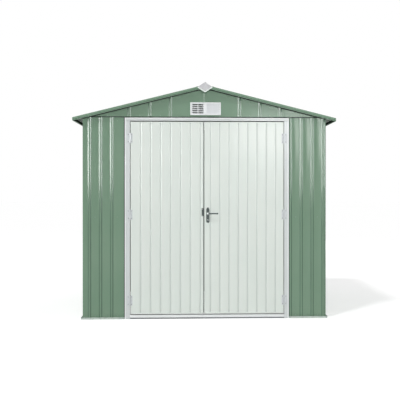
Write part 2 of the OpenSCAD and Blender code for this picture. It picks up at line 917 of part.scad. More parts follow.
module left_door_sheet() {
    color(mint)
        door_sheet(left_x0, left_x1, grooves_left, groove_first_left, groove_pitch_left);
}

module left_door_frame() {
    color(mint) door_frame(left_x0, left_x1, stile_w, stile_w);
}

module right_door_sheet() {
    color(mint) difference() {
        door_sheet(right_x0, right_x1, grooves_right, groove_first_right, groove_pitch_right);
        lever_bore(spindle_r + spindle_clear, face_y - 1, face_y + door_t / 2);
    }
}

module right_door_frame() {
    color(mint) difference() {
        door_frame(right_x0, right_x1, lock_stile_w, stile_w);
        lever_bore(spindle_r + spindle_clear, face_y, door_back + 1);
    }
}

// ---------- lock ----------

// plate with a pointed top and a round foot, its lever axis on the origin
module plate_outline() {
    r = plate_w / 2;
    foot = plate_down - r;
    shoulder = plate_up - sqrt(pow(plate_arch_r, 2) - pow(plate_arch_r - r, 2));
    translate([0, -foot]) circle(r = r, $fn = 48);
    translate([-r, -foot]) square([plate_w, foot + shoulder]);
    intersection() {
        translate([-r, shoulder - 1]) square([plate_w, plate_up]);
        translate([plate_arch_r - r, shoulder]) circle(r = plate_arch_r, $fn = 96);
        translate([r - plate_arch_r, shoulder]) circle(r = plate_arch_r, $fn = 96);
    }
}

module handle_plates() {
    outer = face_y - flush;
    inner = door_back + flush;
    color(iron) difference() {
        translate([axis_x, 0, lever_z]) {
            across(outer - plate_t, outer) plate_outline();
            across(inner, inner + plate_t) plate_outline();
        }
        lever_bore(spindle_r + spindle_clear, outer - plate_t - 1, inner + plate_t + 1);
    }
}

// drawn-back latch in the right door's edge
module latch_bolt() {
    latch_h = 18;
    latch_d = 10;
    color(iron) translate([right_x0 - latch_out, face_y + door_t / 2 - latch_d / 2,
        lever_z - latch_h / 2])
        cube([latch_out - flush, latch_d, latch_h]);
}

// keep on the left door's edge: a plate on the face, turned back over the edge
module strike_plate() {
    front = face_y - strike_t - flush;
    back = face_y + strike_return;
    color(iron) translate([0, 0, lever_z - strike_h / 3]) {
        translate([left_x1 - strike_w, front, 0])
            cube([strike_w + strike_t + flush, strike_t, strike_h]);
        translate([left_x1 + flush, front, 0])
            cube([strike_t, back - front, strike_h]);
    }
}

// one lever: hub on the plate, neck, bar and end knob; drawn outwards along -y
module lever() {
    rose_h = 8;
    rotate([90, 0, 0]) cylinder(r = hub_r, h = rose_h, $fn = 48);
    rotate([90, 0, 0]) cylinder(r = lever_r + 1, h = lever_out, $fn = 48);
    translate([0, -lever_out, 0]) {
        sphere(r = lever_r + 1, $fn = 48);
        rotate([0, 90, 0]) cylinder(r = lever_r, h = lever_len - lever_end_r, $fn = 48);
        translate([lever_len - lever_end_r, 0, 0]) sphere(r = lever_end_r, $fn = 48);
    }
}

// outer and inner levers on one spindle
module lever_handle() {
    run_gap = 0.5;
    outer = face_y - flush - plate_t - run_gap;
    inner = door_back + flush + plate_t + run_gap;
    color(iron) translate([axis_x, 0, lever_z]) {
        translate([0, outer, 0]) lever();
        translate([0, inner, 0]) mirror([0, 1, 0]) lever();
        translate([0, inner, 0]) rotate([90, 0, 0])
            cylinder(r = spindle_r, h = inner - outer, $fn = 48);
    }
}

base_rail_front();
base_rail_back();
base_rail_left();
base_rail_right();
corner_posts();
mid_rails();
top_rail_front();
top_rail_back();
top_rails_side();
rafters();
ridge_beam();
purlins();
front_wall_left();
front_wall_right();
left_wall();
right_wall();
back_wall();
front_gable_left();
front_gable_right();
back_gable_left();
back_gable_right();
roof_left();
roof_right();
ridge_cap();
ridge_end_plates();
verge_trims_front();
verge_trims_back();
eave_trim_left();
eave_trim_right();
vent_frames();
vent_grilles();
vent_shutters();
door_jamb_left();
door_jamb_right();
door_header();
door_sill();
jamb_hinges();
hinge_pins();
left_door_sheet();
left_door_frame();
left_door_hinges();
strike_plate();
right_door_sheet();
right_door_frame();
right_door_hinges();
handle_plates();
latch_bolt();
lever_handle();
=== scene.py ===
import json
import math

import bmesh
import bpy
from mathutils import Matrix, Vector

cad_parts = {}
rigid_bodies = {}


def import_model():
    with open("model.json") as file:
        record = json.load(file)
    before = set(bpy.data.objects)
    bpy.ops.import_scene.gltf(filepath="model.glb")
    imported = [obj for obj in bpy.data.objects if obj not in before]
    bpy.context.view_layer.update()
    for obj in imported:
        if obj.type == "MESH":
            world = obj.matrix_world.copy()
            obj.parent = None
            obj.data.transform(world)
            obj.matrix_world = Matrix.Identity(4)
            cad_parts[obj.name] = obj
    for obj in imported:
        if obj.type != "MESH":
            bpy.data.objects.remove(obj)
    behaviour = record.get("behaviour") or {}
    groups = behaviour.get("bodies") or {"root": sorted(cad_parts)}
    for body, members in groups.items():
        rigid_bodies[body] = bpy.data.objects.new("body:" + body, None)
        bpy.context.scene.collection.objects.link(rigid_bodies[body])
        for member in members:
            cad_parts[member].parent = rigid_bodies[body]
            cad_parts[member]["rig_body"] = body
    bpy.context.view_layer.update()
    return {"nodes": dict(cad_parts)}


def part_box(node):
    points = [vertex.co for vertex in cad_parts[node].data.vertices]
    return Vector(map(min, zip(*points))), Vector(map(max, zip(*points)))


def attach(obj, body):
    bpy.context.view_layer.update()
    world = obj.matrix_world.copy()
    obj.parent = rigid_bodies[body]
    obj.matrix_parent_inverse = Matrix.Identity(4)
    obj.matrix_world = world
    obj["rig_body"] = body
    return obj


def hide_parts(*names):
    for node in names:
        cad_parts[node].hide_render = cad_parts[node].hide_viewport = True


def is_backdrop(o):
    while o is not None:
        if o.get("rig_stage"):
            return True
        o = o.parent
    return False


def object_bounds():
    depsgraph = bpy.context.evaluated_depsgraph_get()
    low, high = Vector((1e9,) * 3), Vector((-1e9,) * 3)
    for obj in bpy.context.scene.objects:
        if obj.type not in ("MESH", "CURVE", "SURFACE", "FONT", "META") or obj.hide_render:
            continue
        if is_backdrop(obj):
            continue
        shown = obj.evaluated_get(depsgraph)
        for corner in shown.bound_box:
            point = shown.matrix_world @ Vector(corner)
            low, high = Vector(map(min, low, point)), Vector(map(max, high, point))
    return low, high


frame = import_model()
nodes = frame["nodes"]
print("frame loaded:", len(nodes), "nodes")


# small helpers: nodes and node groups

def tint(colour):
    # a colour written 0 to 255, as on a screen, for a shader
    shares = [c / 255 for c in colour]
    return [c / 12.92 if c <= 0.04045 else ((c + 0.055) / 1.055) ** 2.4 for c in shares] + [1.0]


def fillIn(tree, node, values):
    # a value that is another node's output is linked, any other is set
    for name, value in values.items():
        if isinstance(value, bpy.types.NodeSocket):
            tree.links.new(value, node.inputs[name])
        else:
            node.inputs[name].default_value = value


def put(tree, kind, values=None, **settings):
    # adds a node; its settings come first, as some of them change its sockets
    node = tree.nodes.new("ShaderNode" + kind)
    for name, value in settings.items():
        setattr(node, name, value)
    fillIn(tree, node, values or {})
    return node


def calc(tree, operation, first, second=0.0, clamp=False):
    return put(tree, "Math", {0: first, 1: second}, operation=operation, use_clamp=clamp).outputs[0]


def times(tree, first, second, clamp=False):
    return calc(tree, "MULTIPLY", first, second, clamp=clamp)


def blendColour(tree, factor, first, second):
    # each colour is a node's output or written plainly
    first, second = [tint(c) if isinstance(c, tuple) else c for c in (first, second)]
    return put(tree, "Mix", {0: factor, 6: first, 7: second}, data_type="RGBA").outputs[2]


def spread(tree, value, low, high, toLow=0.0, toHigh=1.0):
    # takes low..high to toLow..toHigh, with smooth ends
    node = put(tree, "MapRange", {0: value, 1: low, 2: high, 3: toLow, 4: toHigh},
               interpolation_type="SMOOTHSTEP")
    return node.outputs[0]


def noiseOf(tree, vector, scale, detail=2.0, rough=0.5):
    node = put(tree, "TexNoise", {"Vector": vector, "Scale": scale, "Detail": detail,
                                  "Roughness": rough})
    return node.outputs["Fac"]


def stretched(tree, vector, x, y, z):
    return put(tree, "VectorMath", {0: vector, 1: (x, y, z)}, operation="MULTIPLY").outputs[0]


def newGroup(name, inputs, outputs=("Mask",)):
    # a group that reads a place and some numbers, and puts out numbers
    group = bpy.data.node_groups.new(name, "ShaderNodeTree")
    sockets = group.interface
    sockets.new_socket(name="Vector", in_out="INPUT", socket_type="NodeSocketVector")
    for label, value in inputs.items():
        socket = sockets.new_socket(name=label, in_out="INPUT", socket_type="NodeSocketFloat")
        socket.default_value = value
    for label in outputs:
        sockets.new_socket(name=label, in_out="OUTPUT", socket_type="NodeSocketFloat")
    return group, group.nodes.new("NodeGroupInput").outputs, group.nodes.new("NodeGroupOutput").inputs


def useGroup(tree, group, place, **values):
    return put(tree, "Group", {"Vector": place, **values}, node_tree=group).outputs


# effects that several finishes share

def makeRippleGroup():
    # orange peel of a sprayed or baked coat, over the slow waves of thin sheet
    g, given, result = newGroup("sheetRipple", {"Peel": 0.3, "Wave": 1.0}, ["Height"])
    peel = noiseOf(g, given["Vector"], 420.0, 1.0)
    tall = stretched(g, given["Vector"], 1.0, 1.0, 0.35)
    wave = noiseOf(g, tall, 3.0, 1.0)
    peel = times(g, peel, given["Peel"])
    wave = times(g, wave, given["Wave"])
    g.links.new(calc(g, "ADD", peel, wave), result["Height"])
    return g


def makeStreakGroup():
    # faint upright runs, as rain and drying leave on a wall
    g, given, result = newGroup("rainStreaks", {"Fineness": 26.0, "Cover": 0.5})
    run = stretched(g, given["Vector"], 1.0, 1.0, 0.045)
    fine = noiseOf(g, run, given["Fineness"], 3.0, 0.6)
    patch = noiseOf(g, given["Vector"], 1.7, 1.0)
    both = times(g, spread(g, fine, 0.42, 0.72), spread(g, patch, 0.3, 0.75))
    g.links.new(times(g, both, given["Cover"], clamp=True), result["Mask"])
    return g


def makeDustGroup():
    # dust and splashes that fade out above the ground
    g, given, result = newGroup("groundDust", {"Reach": 0.35, "Amount": 0.5})
    height = put(g, "SeparateXYZ", {0: given["Vector"]}).outputs["Z"]
    share = calc(g, "SUBTRACT", 1.0, calc(g, "DIVIDE", height, given["Reach"]), clamp=True)
    share = calc(g, "POWER", share, 2.2)
    speck = noiseOf(g, given["Vector"], 55.0, 4.0, 0.65)
    cloud = noiseOf(g, given["Vector"], 6.0, 2.0)
    grit = times(g, spread(g, speck, 0.35, 0.7), spread(g, cloud, 0.25, 0.8))
    mask = times(g, times(g, share, grit), given["Amount"], clamp=True)
    g.links.new(mask, result["Mask"])
    return g


def makeEdgeGroup():
    # bare or rubbed edges: where a rounded normal parts from the true one
    g, given, result = newGroup("edgeRub", {"Radius": 0.002, "Amount": 0.5})
    rounded = put(g, "Bevel", {"Radius": given["Radius"]}, samples=4).outputs[0]
    true = put(g, "NewGeometry").outputs["True Normal"]
    along = put(g, "VectorMath", {0: rounded, 1: true}, operation="DOT_PRODUCT").outputs["Value"]
    edge = spread(g, calc(g, "SUBTRACT", 1.0, along), 0.02, 0.22)
    worn = spread(g, noiseOf(g, given["Vector"], 90.0, 4.0, 0.7), 0.4, 0.62)
    mask = times(g, times(g, edge, worn), given["Amount"], clamp=True)
    g.links.new(mask, result["Mask"])
    return g


def makeSpangleGroup():
    # zinc crystals of a galvanised sheet
    g, given, result = newGroup("zincSpangle", {"Size": 90.0}, ["Shade", "Height"])
    warp = put(g, "TexNoise", {"Vector": given["Vector"], "Scale": 60.0}).outputs["Color"]
    bent = put(g, "VectorMath", {0: warp, 1: (0.006, 0.006, 0.006), 2: given["Vector"]},
               operation="MULTIPLY_ADD").outputs[0]
    cells = put(g, "TexVoronoi", {"Vector": bent, "Scale": given["Size"]}).outputs["Color"]
    shade = put(g, "SeparateColor", {0: cells}).outputs[0]
    feather = noiseOf(g, given["Vector"], 400.0, 2.0)
    mixed = calc(g, "ADD", times(g, shade, 0.75), times(g, feather, 0.25))
    g.links.new(mixed, result["Shade"])
    g.links.new(times(g, shade, 0.2), result["Height"])
    return g


ripple = makeRippleGroup()
streaks = makeStreakGroup()
dust = makeDustGroup()
edgeRub = makeEdgeGroup()
spangle = makeSpangleGroup()


# finishes

def emptyTree(owner):
    owner.use_nodes = True
    owner.node_tree.nodes.clear()
    return owner.node_tree


def newFinish(name):
    # an empty material with its shader, and the place that its patterns read
    material = bpy.data.materials.new(name)
    tree = emptyTree(material)
    shader = put(tree, "BsdfPrincipled")
    output = put(tree, "OutputMaterial")
    tree.links.new(shader.outputs[0], output.inputs[0])
    place = put(tree, "TexCoord").outputs["Object"]
    return material, tree, shader, place


def bumpInto(tree, shader, height, distance, strength=1.0):
    bump = put(tree, "Bump", {"Height": height, "Distance": distance, "Strength": strength})
    tree.links.new(bump.outputs[0], shader.inputs["Normal"])


def feed(tree, shader, name, value):
    tree.links.new(value, shader.inputs[name])


def slopeShare(tree):
    # 1 on the sloping sides of upright ribs, which face between two walls; the mask for painted shade
    # there
    turned = put(tree, "SeparateXYZ", {0: put(tree, "NewGeometry").outputs["Normal"]}).outputs
    both = calc(tree, "ABSOLUTE", times(tree, turned["X"], turned["Y"]))
    return spread(tree, both, 0.12, 0.42)


# the 'dust' span is the depth at which the grooves get painted shade
groove = {"dust": (0.0018, 0.0044), "bend": (0.0003, 0.0016), "behind": (0.008, 0.011)}


def grooveShare(tree, place, face, part):
    # 1 in the grooves of a front sheet, by the depth behind its face: deep in, where shade is
    # painted, or from the bends inwards; 0 again in what lies behind the sheet
    depth = calc(tree, "SUBTRACT", put(tree, "SeparateXYZ", {0: place}).outputs["Y"], face)
    inner = spread(tree, depth, *groove[part])
    return times(tree, inner, spread(tree, depth, *groove["behind"], 1.0, 0.0))


def makePaint(name, look):
    # factory coat on steel sheet: a little uneven, streaked, dusty at the foot, with painted shade on
    # the ribs' sloping sides and in the door grooves
    material, tree, shader, place = newFinish(name)
    cloud = noiseOf(tree, place, 2.3, 2.0)
    colour = blendColour(tree, spread(tree, cloud, 0.3, 0.7), look["colour"], look["second"])
    speck = noiseOf(tree, place, 700.0, 1.0)
    colour = blendColour(tree, times(tree, spread(tree, speck, 0.55, 0.75), 0.10),
                         colour, look["speck"])
    run = useGroup(tree, streaks, place, Cover=look["streak"])["Mask"]
    colour = blendColour(tree, run, colour, look["streakColour"])
    soil = useGroup(tree, dust, place, Reach=look["dustReach"], Amount=look["dust"])["Mask"]
    colour = blendColour(tree, soil, colour, look["dustColour"])
    # painted shade: the ribs' sloping sides are coloured darker
    if look["sideSoil"] > 0:
        side = times(tree, slopeShare(tree), look["sideSoil"])
        colour = blendColour(tree, side, colour, look["sideShadeColour"])
    # painted shade: the door grooves are coloured greyer deeper in
    if look["grooveFace"]:
        grooveShadeMask = times(tree, grooveShare(tree, place, look["grooveFace"], "dust"),
                    look["grooveShade"])
        colour = blendColour(tree, grooveShadeMask, colour, look["grooveShadeColour"])
    feed(tree, shader, "Base Color", colour)
    smear = noiseOf(tree, place, 9.0, 3.0, 0.6)
    rough = spread(tree, smear, 0.3, 0.75, look["rough"] - 0.01, look["rough"] + 0.02)
    rough = calc(tree, "ADD", rough, times(tree, soil, 0.3))
    rough = calc(tree, "ADD", rough, times(tree, run, 0.06), clamp=True)
    if look["grooveFace"]:
        bends = grooveShare(tree, place, look["grooveFace"], "bend")
        rough = calc(tree, "ADD", rough, times(tree, bends, 0.3), clamp=True)
    feed(tree, shader, "Roughness", rough)
    shader.inputs["Specular IOR Level"].default_value = look["specular"]
    height = useGroup(tree, ripple, place, Peel=look["peel"], Wave=look["wave"])["Height"]
    bumpInto(tree, shader, height, 0.0004)
    return material


def makeZinc(name, colour, second, rough, dusty):
    # galvanised steel, duller where dust lies
    material, tree, shader, place = newFinish(name)
    zinc = useGroup(tree, spangle, place, Size=70.0)
    cloud = noiseOf(tree, place, 5.0, 3.0)
    shade = calc(tree, "ADD", times(tree, zinc["Shade"], 0.7),
                 times(tree, cloud, 0.3))
    base = blendColour(tree, spread(tree, shade, 0.25, 0.75), colour, second)
    soil = useGroup(tree, dust, place, Reach=0.12, Amount=dusty)["Mask"]
    base = blendColour(tree, soil, base, (168, 163, 152))
    feed(tree, shader, "Base Color", base)
    shader.inputs["Metallic"].default_value = 0.75
    uneven = spread(tree, zinc["Shade"], 0.2, 0.8, rough - 0.08, rough + 0.1)
    feed(tree, shader, "Roughness", calc(tree, "ADD", uneven, times(tree, soil, 0.3)))
    bumpInto(tree, shader, zinc["Height"], 0.0003, 0.5)
    return material


def makePlastic(name, colour, second, rough):
    # moulded plastic: fine grain and a faint flow of colour
    material, tree, shader, place = newFinish(name)
    flow = noiseOf(tree, stretched(tree, place, 1.0, 1.0, 3.0), 9.0, 2.0)
    base = blendColour(tree, spread(tree, flow, 0.3, 0.7), colour, second)
    soil = useGroup(tree, streaks, place, Fineness=60.0, Cover=0.25)["Mask"]
    base = blendColour(tree, soil, base, (176, 178, 176))
    feed(tree, shader, "Base Color", base)
    grain = noiseOf(tree, place, 900.0, 2.0)
    feed(tree, shader, "Roughness", spread(tree, flow, 0.3, 0.7, rough - 0.05, rough + 0.06))
    bumpInto(tree, shader, grain, 0.0002, 0.35)
    return material


def makeWornMetal(name, colour, bare, rough, metallic, rub):
    # dark or plated fitting, rubbed bright at its edges, with fine brushing
    material, tree, shader, place = newFinish(name)
    brushed = noiseOf(tree, stretched(tree, place, 1400.0, 1400.0, 90.0), 1.0, 2.0)
    blot = noiseOf(tree, place, 130.0, 4.0, 0.65)
    base = blendColour(tree, times(tree, spread(tree, blot, 0.3, 0.75), 0.5), colour, bare)
    edge = useGroup(tree, edgeRub, place, Radius=0.0015, Amount=rub)["Mask"]
    base = blendColour(tree, edge, base, bare)
    feed(tree, shader, "Base Color", base)
    shader.inputs["Metallic"].default_value = metallic
    feed(tree, shader, "Roughness", spread(tree, brushed, 0.3, 0.7, rough - 0.06, rough + 0.1))
    bumpInto(tree, shader, brushed, 0.0001, 0.4)
    return material


def makeRubber(name, first, second):
    # rubber, foam or sealant with a dull bloom
    material, tree, shader, place = newFinish(name)
    bloom = noiseOf(tree, place, 300.0, 3.0)
    feed(tree, shader, "Base Color",
         blendColour(tree, spread(tree, bloom, 0.4, 0.8), first, second))
    shader.inputs["Roughness"].default_value = 0.7
    bumpInto(tree, shader, bloom, 0.0001, 0.5)
    return material


# the side shade colour is painted shade on the ribs' sloping sides
greenLook = {
    "colour": (107, 138, 114), "second": (111, 141, 117), "speck": (94, 125, 101),
    "streak": 0.14, "streakColour": (124, 150, 130), "dust": 0.45, "dustReach": 0.25,
    "dustColour": (142, 152, 136), "rough": 0.16, "specular": 0.5, "peel": 0.03,
    "wave": 0.15, "grooveFace": None, "sideSoil": 0.65, "sideShadeColour": (68, 98, 78)}
doorLook = dict(greenLook, **{
    "colour": (215, 223, 217), "second": (218, 225, 219), "speck": (206, 213, 208),
    "streak": 0.12, "streakColour": (204, 210, 203), "dust": 0.18, "dustReach": 0.20,
    "dustColour": (196, 194, 184), "rough": 0.20, "wave": 0.25, "sideSoil": 0.0})
frameLook = dict(doorLook, **{
    "colour": (203, 208, 208), "second": (207, 212, 212), "speck": (193, 198, 198),
    "streakColour": (190, 194, 194), "wave": 0.1})
# painted highlight: a paler copy of the frame coat for the raised lip and the sill
lipHighlightLook = dict(frameLook, **{
    "colour": (232, 235, 235), "second": (228, 232, 232), "speck": (220, 224, 224),
    "streakColour": (226, 229, 228)})
backLook = dict(greenLook, **{
    "colour": (178, 183, 176), "second": (184, 189, 182), "speck": (164, 169, 162),
    "streakColour": (170, 174, 165), "dustColour": (156, 153, 142), "rough": 0.5,
    "specular": 0.4, "wave": 0.2, "sideSoil": 0.0})
# the roof's backing coat, coloured darker than the walls' backing: a real coat with painted shade
# under the eaves
soffitShadeLook = dict(backLook, **{
    "colour": (122, 134, 126), "second": (128, 139, 131), "speck": (110, 120, 113),
    "streakColour": (118, 126, 119)})

finishes = {
    "green": makePaint("greenPaint", greenLook),
    "greenTrim": makePaint("greenTrimPaint", dict(greenLook, wave=0.1, rough=0.34, specular=0.35)),
    "gableGreen": makePaint("gablePaint", dict(greenLook, rough=0.17, wave=0.06)),
    "roofGreen": makePaint("roofPaint", dict(greenLook, rough=0.50, specular=0.25, streak=0.2)),
    "back": makePaint("sheetBackingCoat", backLook),
    "soffit": makePaint("roofBackingShade", soffitShadeLook),
    "door": makePaint("doorPaint", dict(doorLook, grooveFace=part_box("left_door_sheet")[0].y,
                                        grooveShade=0.75, grooveShadeColour=(184, 191, 187))),
    "doorTrim": makePaint("doorTrimPaint", dict(doorLook, wave=0.1)),
    "frame": makePaint("doorFramePaint", frameLook),
    "lip": makePaint("doorFrameLipHighlight", lipHighlightLook),
    # painted shade: a dark copy of the frame coat for the sill's set-back foot
    "grime": makePaint("sillFoot", dict(frameLook, colour=(112, 117, 119),
                                        second=(126, 130, 131), speck=(90, 94, 95),
                                        dustColour=(138, 136, 128), rough=0.5)),
    "zinc": makeZinc("galvanisedSteel", (158, 163, 162), (190, 194, 193), 0.42, 0.5),
    # painted shade: a dark zinc for the top rails, standing for the shaded slot above the wall sheets
    "shadedZinc": makeZinc("topRailShadedZinc", (82, 94, 87), (104, 114, 108), 0.5, 0.3),
    "rail": makeZinc("baseRailZinc", (152, 163, 157), (168, 178, 172), 0.46, 0.5),
    "vent": makePlastic("ventPlastic", (229, 232, 233), (223, 226, 227), 0.40),
    "shutter": makePlastic("shutterPlastic", (225, 228, 230), (220, 223, 225), 0.42),
    "plate": makePlastic("endPlatePlastic", (190, 190, 193), (196, 197, 198), 0.42),
    "plateRim": makePlastic("endPlateRim", (222, 232, 227), (228, 236, 232), 0.38),
    "hinge": makeWornMetal("hingePlate", (190, 195, 197), (206, 210, 211), 0.42, 0.1, 0.4),
    "pin": makeWornMetal("hingePin", (70, 74, 74), (104, 108, 108), 0.36, 0.5, 0.4),
    "lock": makeWornMetal("lockDark", (62, 71, 69), (82, 91, 89), 0.30, 0.4, 0.6),
    "bright": makeWornMetal("lockBright", (184, 191, 189), (226, 232, 230), 0.26, 0.7, 0.4),
    "screw": makeWornMetal("screwZinc", (178, 181, 180), (214, 217, 216), 0.35, 0.7, 0.5),
    "greenScrew": makeWornMetal("screwGreen", (104, 133, 112), (142, 164, 147), 0.4, 0.0, 0.4),
    "paleScrew": makeWornMetal("screwPale", (200, 206, 204), (226, 230, 228), 0.4, 0.0, 0.4),
    # this dark rubber also colours the closure strips and the key slot, which stand for painted shade
    "rubber": makeRubber("washerRubber", (38, 40, 40), (70, 72, 70)),
    "greyRubber": makeRubber("sealRubber", (124, 128, 125), (142, 146, 143)),
    "sealant": makeRubber("greenSealantShadeLine", (80, 106, 88), (92, 117, 99)),
}
print("finishes made:", len(finishes))


# small helpers: meshes

def intoScene(name, data):
    thing = bpy.data.objects.new(name, data)
    bpy.context.scene.collection.objects.link(thing)
    return thing


def roundEdges(bm, edges, width, steps=2):
    bmesh.ops.bevel(bm, geom=edges, offset=width, offset_type="OFFSET", segments=steps,
                    profile=0.5, affect="EDGES", material=-1, clamp_overlap=True)


def shadeSmooth(bm, degrees):
    # smooth faces, with crisp edges where they turn more than this
    for face in bm.faces:
        face.smooth = True
    for edge in bm.edges:
        if edge.is_manifold and edge.calc_face_angle() > math.radians(degrees):
            edge.smooth = False


def camel(node):
    first, *rest = node.split("_")
    return first + "".join(word.capitalize() for word in rest)


def asPiece(name, bm, finish, body, replaced=(), modifiers=None):
    # the bmesh becomes a piece at the origin that rides on its body
    mesh = bpy.data.meshes.new(name)
    bm.to_mesh(mesh)
    bm.free()
    piece = intoScene(name, mesh)
    for key in [finish] if isinstance(finish, str) else finish:
        mesh.materials.append(finishes[key])
    if modifiers:
        modifiers(piece)
    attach(piece, body)
    if replaced:
        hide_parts(*replaced)


def flatten(piece):
    # wide faces keep their own normal, and the shading turns within the bends
    even = piece.modifiers.new("evenNormals", "WEIGHTED_NORMAL")
    even.keep_sharp = True


def thicken(piece):
    # the sheet's thickness goes on its inner side, which has the second finish
    solid = piece.modifiers.new("thickness", "SOLIDIFY")
    solid.thickness = walls["sheet"]
    solid.offset = -1.0
    solid.use_even_offset = True
    solid.material_offset = 1
    solid.material_offset_rim = 0
    flatten(piece)


fold = {"wide": 0.045, "parts": 8, "endShare": 0.25, "bendSteps": 5}


def foldedLine(bm, corners, bend, bow=(0, 0, 0)):
    # the section of a folded sheet: its corners are bent round, its wide pans slightly bowed
    corners = [Vector(c) for c in corners]
    bow = Vector(bow)
    line = [bm.verts.new(corners[0])]
    turns = []
    for first, second in zip(corners, corners[1:]):
        if (second - first).length > fold["wide"] and bow.length > 0:
            atEnd = first is corners[0] or second is corners[-1]
            share = fold["endShare"] if atEnd else 1.0
            for i in range(1, fold["parts"]):
                along = i / fold["parts"]
                crown = 4 * along * (1 - along) * share
                line.append(bm.verts.new(first.lerp(second, along) + bow * crown))
        line.append(bm.verts.new(second))
        turns.append(line[-1])
    for first, second in zip(line, line[1:]):
        bm.edges.new((first, second))
    bmesh.ops.bevel(bm, geom=turns[:-1], offset=bend, segments=fold["bendSteps"], profile=0.5,
                    affect="VERTICES", material=-1, clamp_overlap=True)


def drawOut(bm, vector):
    # pulls a section out into a sheet
    pulled = bmesh.ops.extrude_edge_only(bm, edges=bm.edges[:])
    moved = [g for g in pulled["geom"] if isinstance(g, bmesh.types.BMVert)]
    bmesh.ops.translate(bm, verts=moved, vec=vector)


def smoothSheet(bm):
    # bends shade round, cut edges stay crisp
    for face in bm.faces:
        face.smooth = True
    for edge in bm.edges:
        if len(edge.link_faces) == 1:
            edge.smooth = False


def asSheet(node, bm, paints, outwards, body="shell", turn=None):
    # the bmesh becomes a folded sheet, its outer faces looking one way before it is turned
    faceTowards(bm, outwards)
    smoothSheet(bm)
    if turn is not None:
        bmesh.ops.transform(bm, matrix=turn, verts=bm.verts[:])
    asPiece(camel(node), bm, paints, body, [node], thicken)


def faceTowards(bm, direction):
    # an open sheet's faces all look to its outer side
    bmesh.ops.recalc_face_normals(bm, faces=bm.faces[:])
    bm.normal_update()
    lean = sum((f.normal * f.calc_area() for f in bm.faces), Vector())
    if lean.dot(Vector(direction)) < 0:
        bmesh.ops.reverse_faces(bm, faces=bm.faces[:])


def cutAcross(bm, point, normal, trimmed=False):
    # a cut along a plane; when trimmed, only what lies behind the plane is kept
    bmesh.ops.bisect_plane(bm, geom=bm.verts[:] + bm.edges[:] + bm.faces[:], dist=1e-6,
                           plane_co=point, plane_no=normal, clear_outer=trimmed)


def softened(node, finish, width, steps=2, pick=None, cuts=()):
    # a copy of a frame piece with its doubles merged and its edges rounded
    source = nodes[node]
    bm = bmesh.new()
    bm.from_mesh(source.data)
    bmesh.ops.remove_doubles(bm, verts=bm.verts[:], dist=2e-6)
    bmesh.ops.dissolve_limit(bm, angle_limit=math.radians(1.0), verts=bm.verts[:],
                             edges=bm.edges[:])
    sharp = [e for e in bm.edges if e.is_manifold and e.calc_face_angle() > math.radians(32)]
    roundEdges(bm, sharp, width, steps)
    for point, normal in cuts:
        cutAcross(bm, point, normal)
    for face in bm.faces if pick else ():
        face.material_index = pick(face)
    shadeSmooth(bm, 40)
    asPiece(camel(node), bm, finish, source["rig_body"], [node], flatten)


# wall sheets

walls = {
    "sheet": 0.0006, "pitch": 0.110, "foot": 0.030, "top": 0.014, "high": 0.010, "bend": 0.0042,
    "hollow": 0.0023, "firstRib": 0.068, "firstRibRight": 0.029, "clearOfJamb": 0.060,
    "seam": 0.0004, "halfWidth": 1.215, "halfDepth": 0.915}


def ribCorners(centre, foot, top, high, lift=0.0):
    return [(centre - foot / 2, -lift, 0), (centre - top / 2, -high, 0),
            (centre + top / 2, -high, 0), (centre + foot / 2, -lift, 0)]


def wallTurn(side):
    # from the front wall's place to another wall's: 0 front, 1 right, 2 back, 3 left
    out = walls["halfDepth"] if side % 2 == 0 else walls["halfWidth"]
    return Matrix.Rotation(math.radians(90 * side), 4, "Z") @ Matrix.Translation((0, -out, 0))


def ribPlaces(end, first):
    count = int((end - walls["foot"] / 2 - first) / walls["pitch"] + 1e-6) + 1
    return [first + i * walls["pitch"] for i in range(count)]


def ribbedWall(node, side, runs):
    # runs: (start, end, rib centres) of each sheet, drawn on the front wall and turned
    low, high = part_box(node)
    bm = bmesh.new()
    for start, end, centres in runs:
        corners = [(start, 0, 0)]
        for centre in centres:
            corners += ribCorners(centre, walls["foot"], walls["top"], walls["high"],
                                  walls["hollow"])
        foldedLine(bm, corners + [(end, 0, 0)], walls["bend"], (0, walls["hollow"], 0))
    drawOut(bm, (0, 0, high.z - low.z))
    asSheet(node, bm, ["green", "back"], (0, -1, 0),
            turn=wallTurn(side) @ Matrix.Translation((0, 0, low.z)))


def splitRuns(start, end, first, count):
    # as many sheets side by side, each cut half way between two ribs
    places = ribPlaces(end, first)
    marks = [places[round(i * len(places) / count)] - walls["pitch"] / 2 for i in range(1, count)]
    edges = [start] + marks + [end]
    runs = []
    for i in range(count):
        left = edges[i] + (walls["seam"] / 2 if i else 0)
        right = edges[i + 1] - (walls["seam"] / 2 if i < count - 1 else 0)
        runs.append((left, right, [c for c in places if left < c < right]))
    return runs


leftLow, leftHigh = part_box("front_wall_left")
rightLow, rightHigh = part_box("front_wall_right")
sideLow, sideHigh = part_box("left_wall")
frontLeftRibs = ribPlaces(leftHigh.x - walls["clearOfJamb"], leftLow.x + walls["firstRib"])
mirroredRibs = ribPlaces(-rightLow.x, walls["firstRibRight"] - rightHigh.x)
frontRightRibs = [-x for x in reversed(mirroredRibs)]
sideRuns = splitRuns(sideLow.y, sideHigh.y, walls["firstRib"] - walls["halfDepth"], 2)
backRuns = splitRuns(-walls["halfWidth"], walls["halfWidth"],
                     walls["firstRib"] - walls["halfWidth"], 3)
ribbedWall("front_wall_left", 0, [(leftLow.x, leftHigh.x, frontLeftRibs)])
ribbedWall("front_wall_right", 0, [(rightLow.x, rightHigh.x, frontRightRibs)])
ribbedWall("right_wall", 1, sideRuns)
ribbedWall("back_wall", 2, backRuns)
ribbedWall("left_wall", 3, sideRuns)
print("walls made")


# gables

gable = {
    "ribs": [0.345, 0.550, 0.755], "lapHalf": 0.010, "lapOut": 0.003, "lapBend": 0.0012,
    "lapClear": 0.001, "spare": 0.01, "slope": 0.25, "ventFrom": -0.1465, "ventTo": 0.1585,
    "ventBorder": 0.014}
ventLow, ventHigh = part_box("vent_frames")


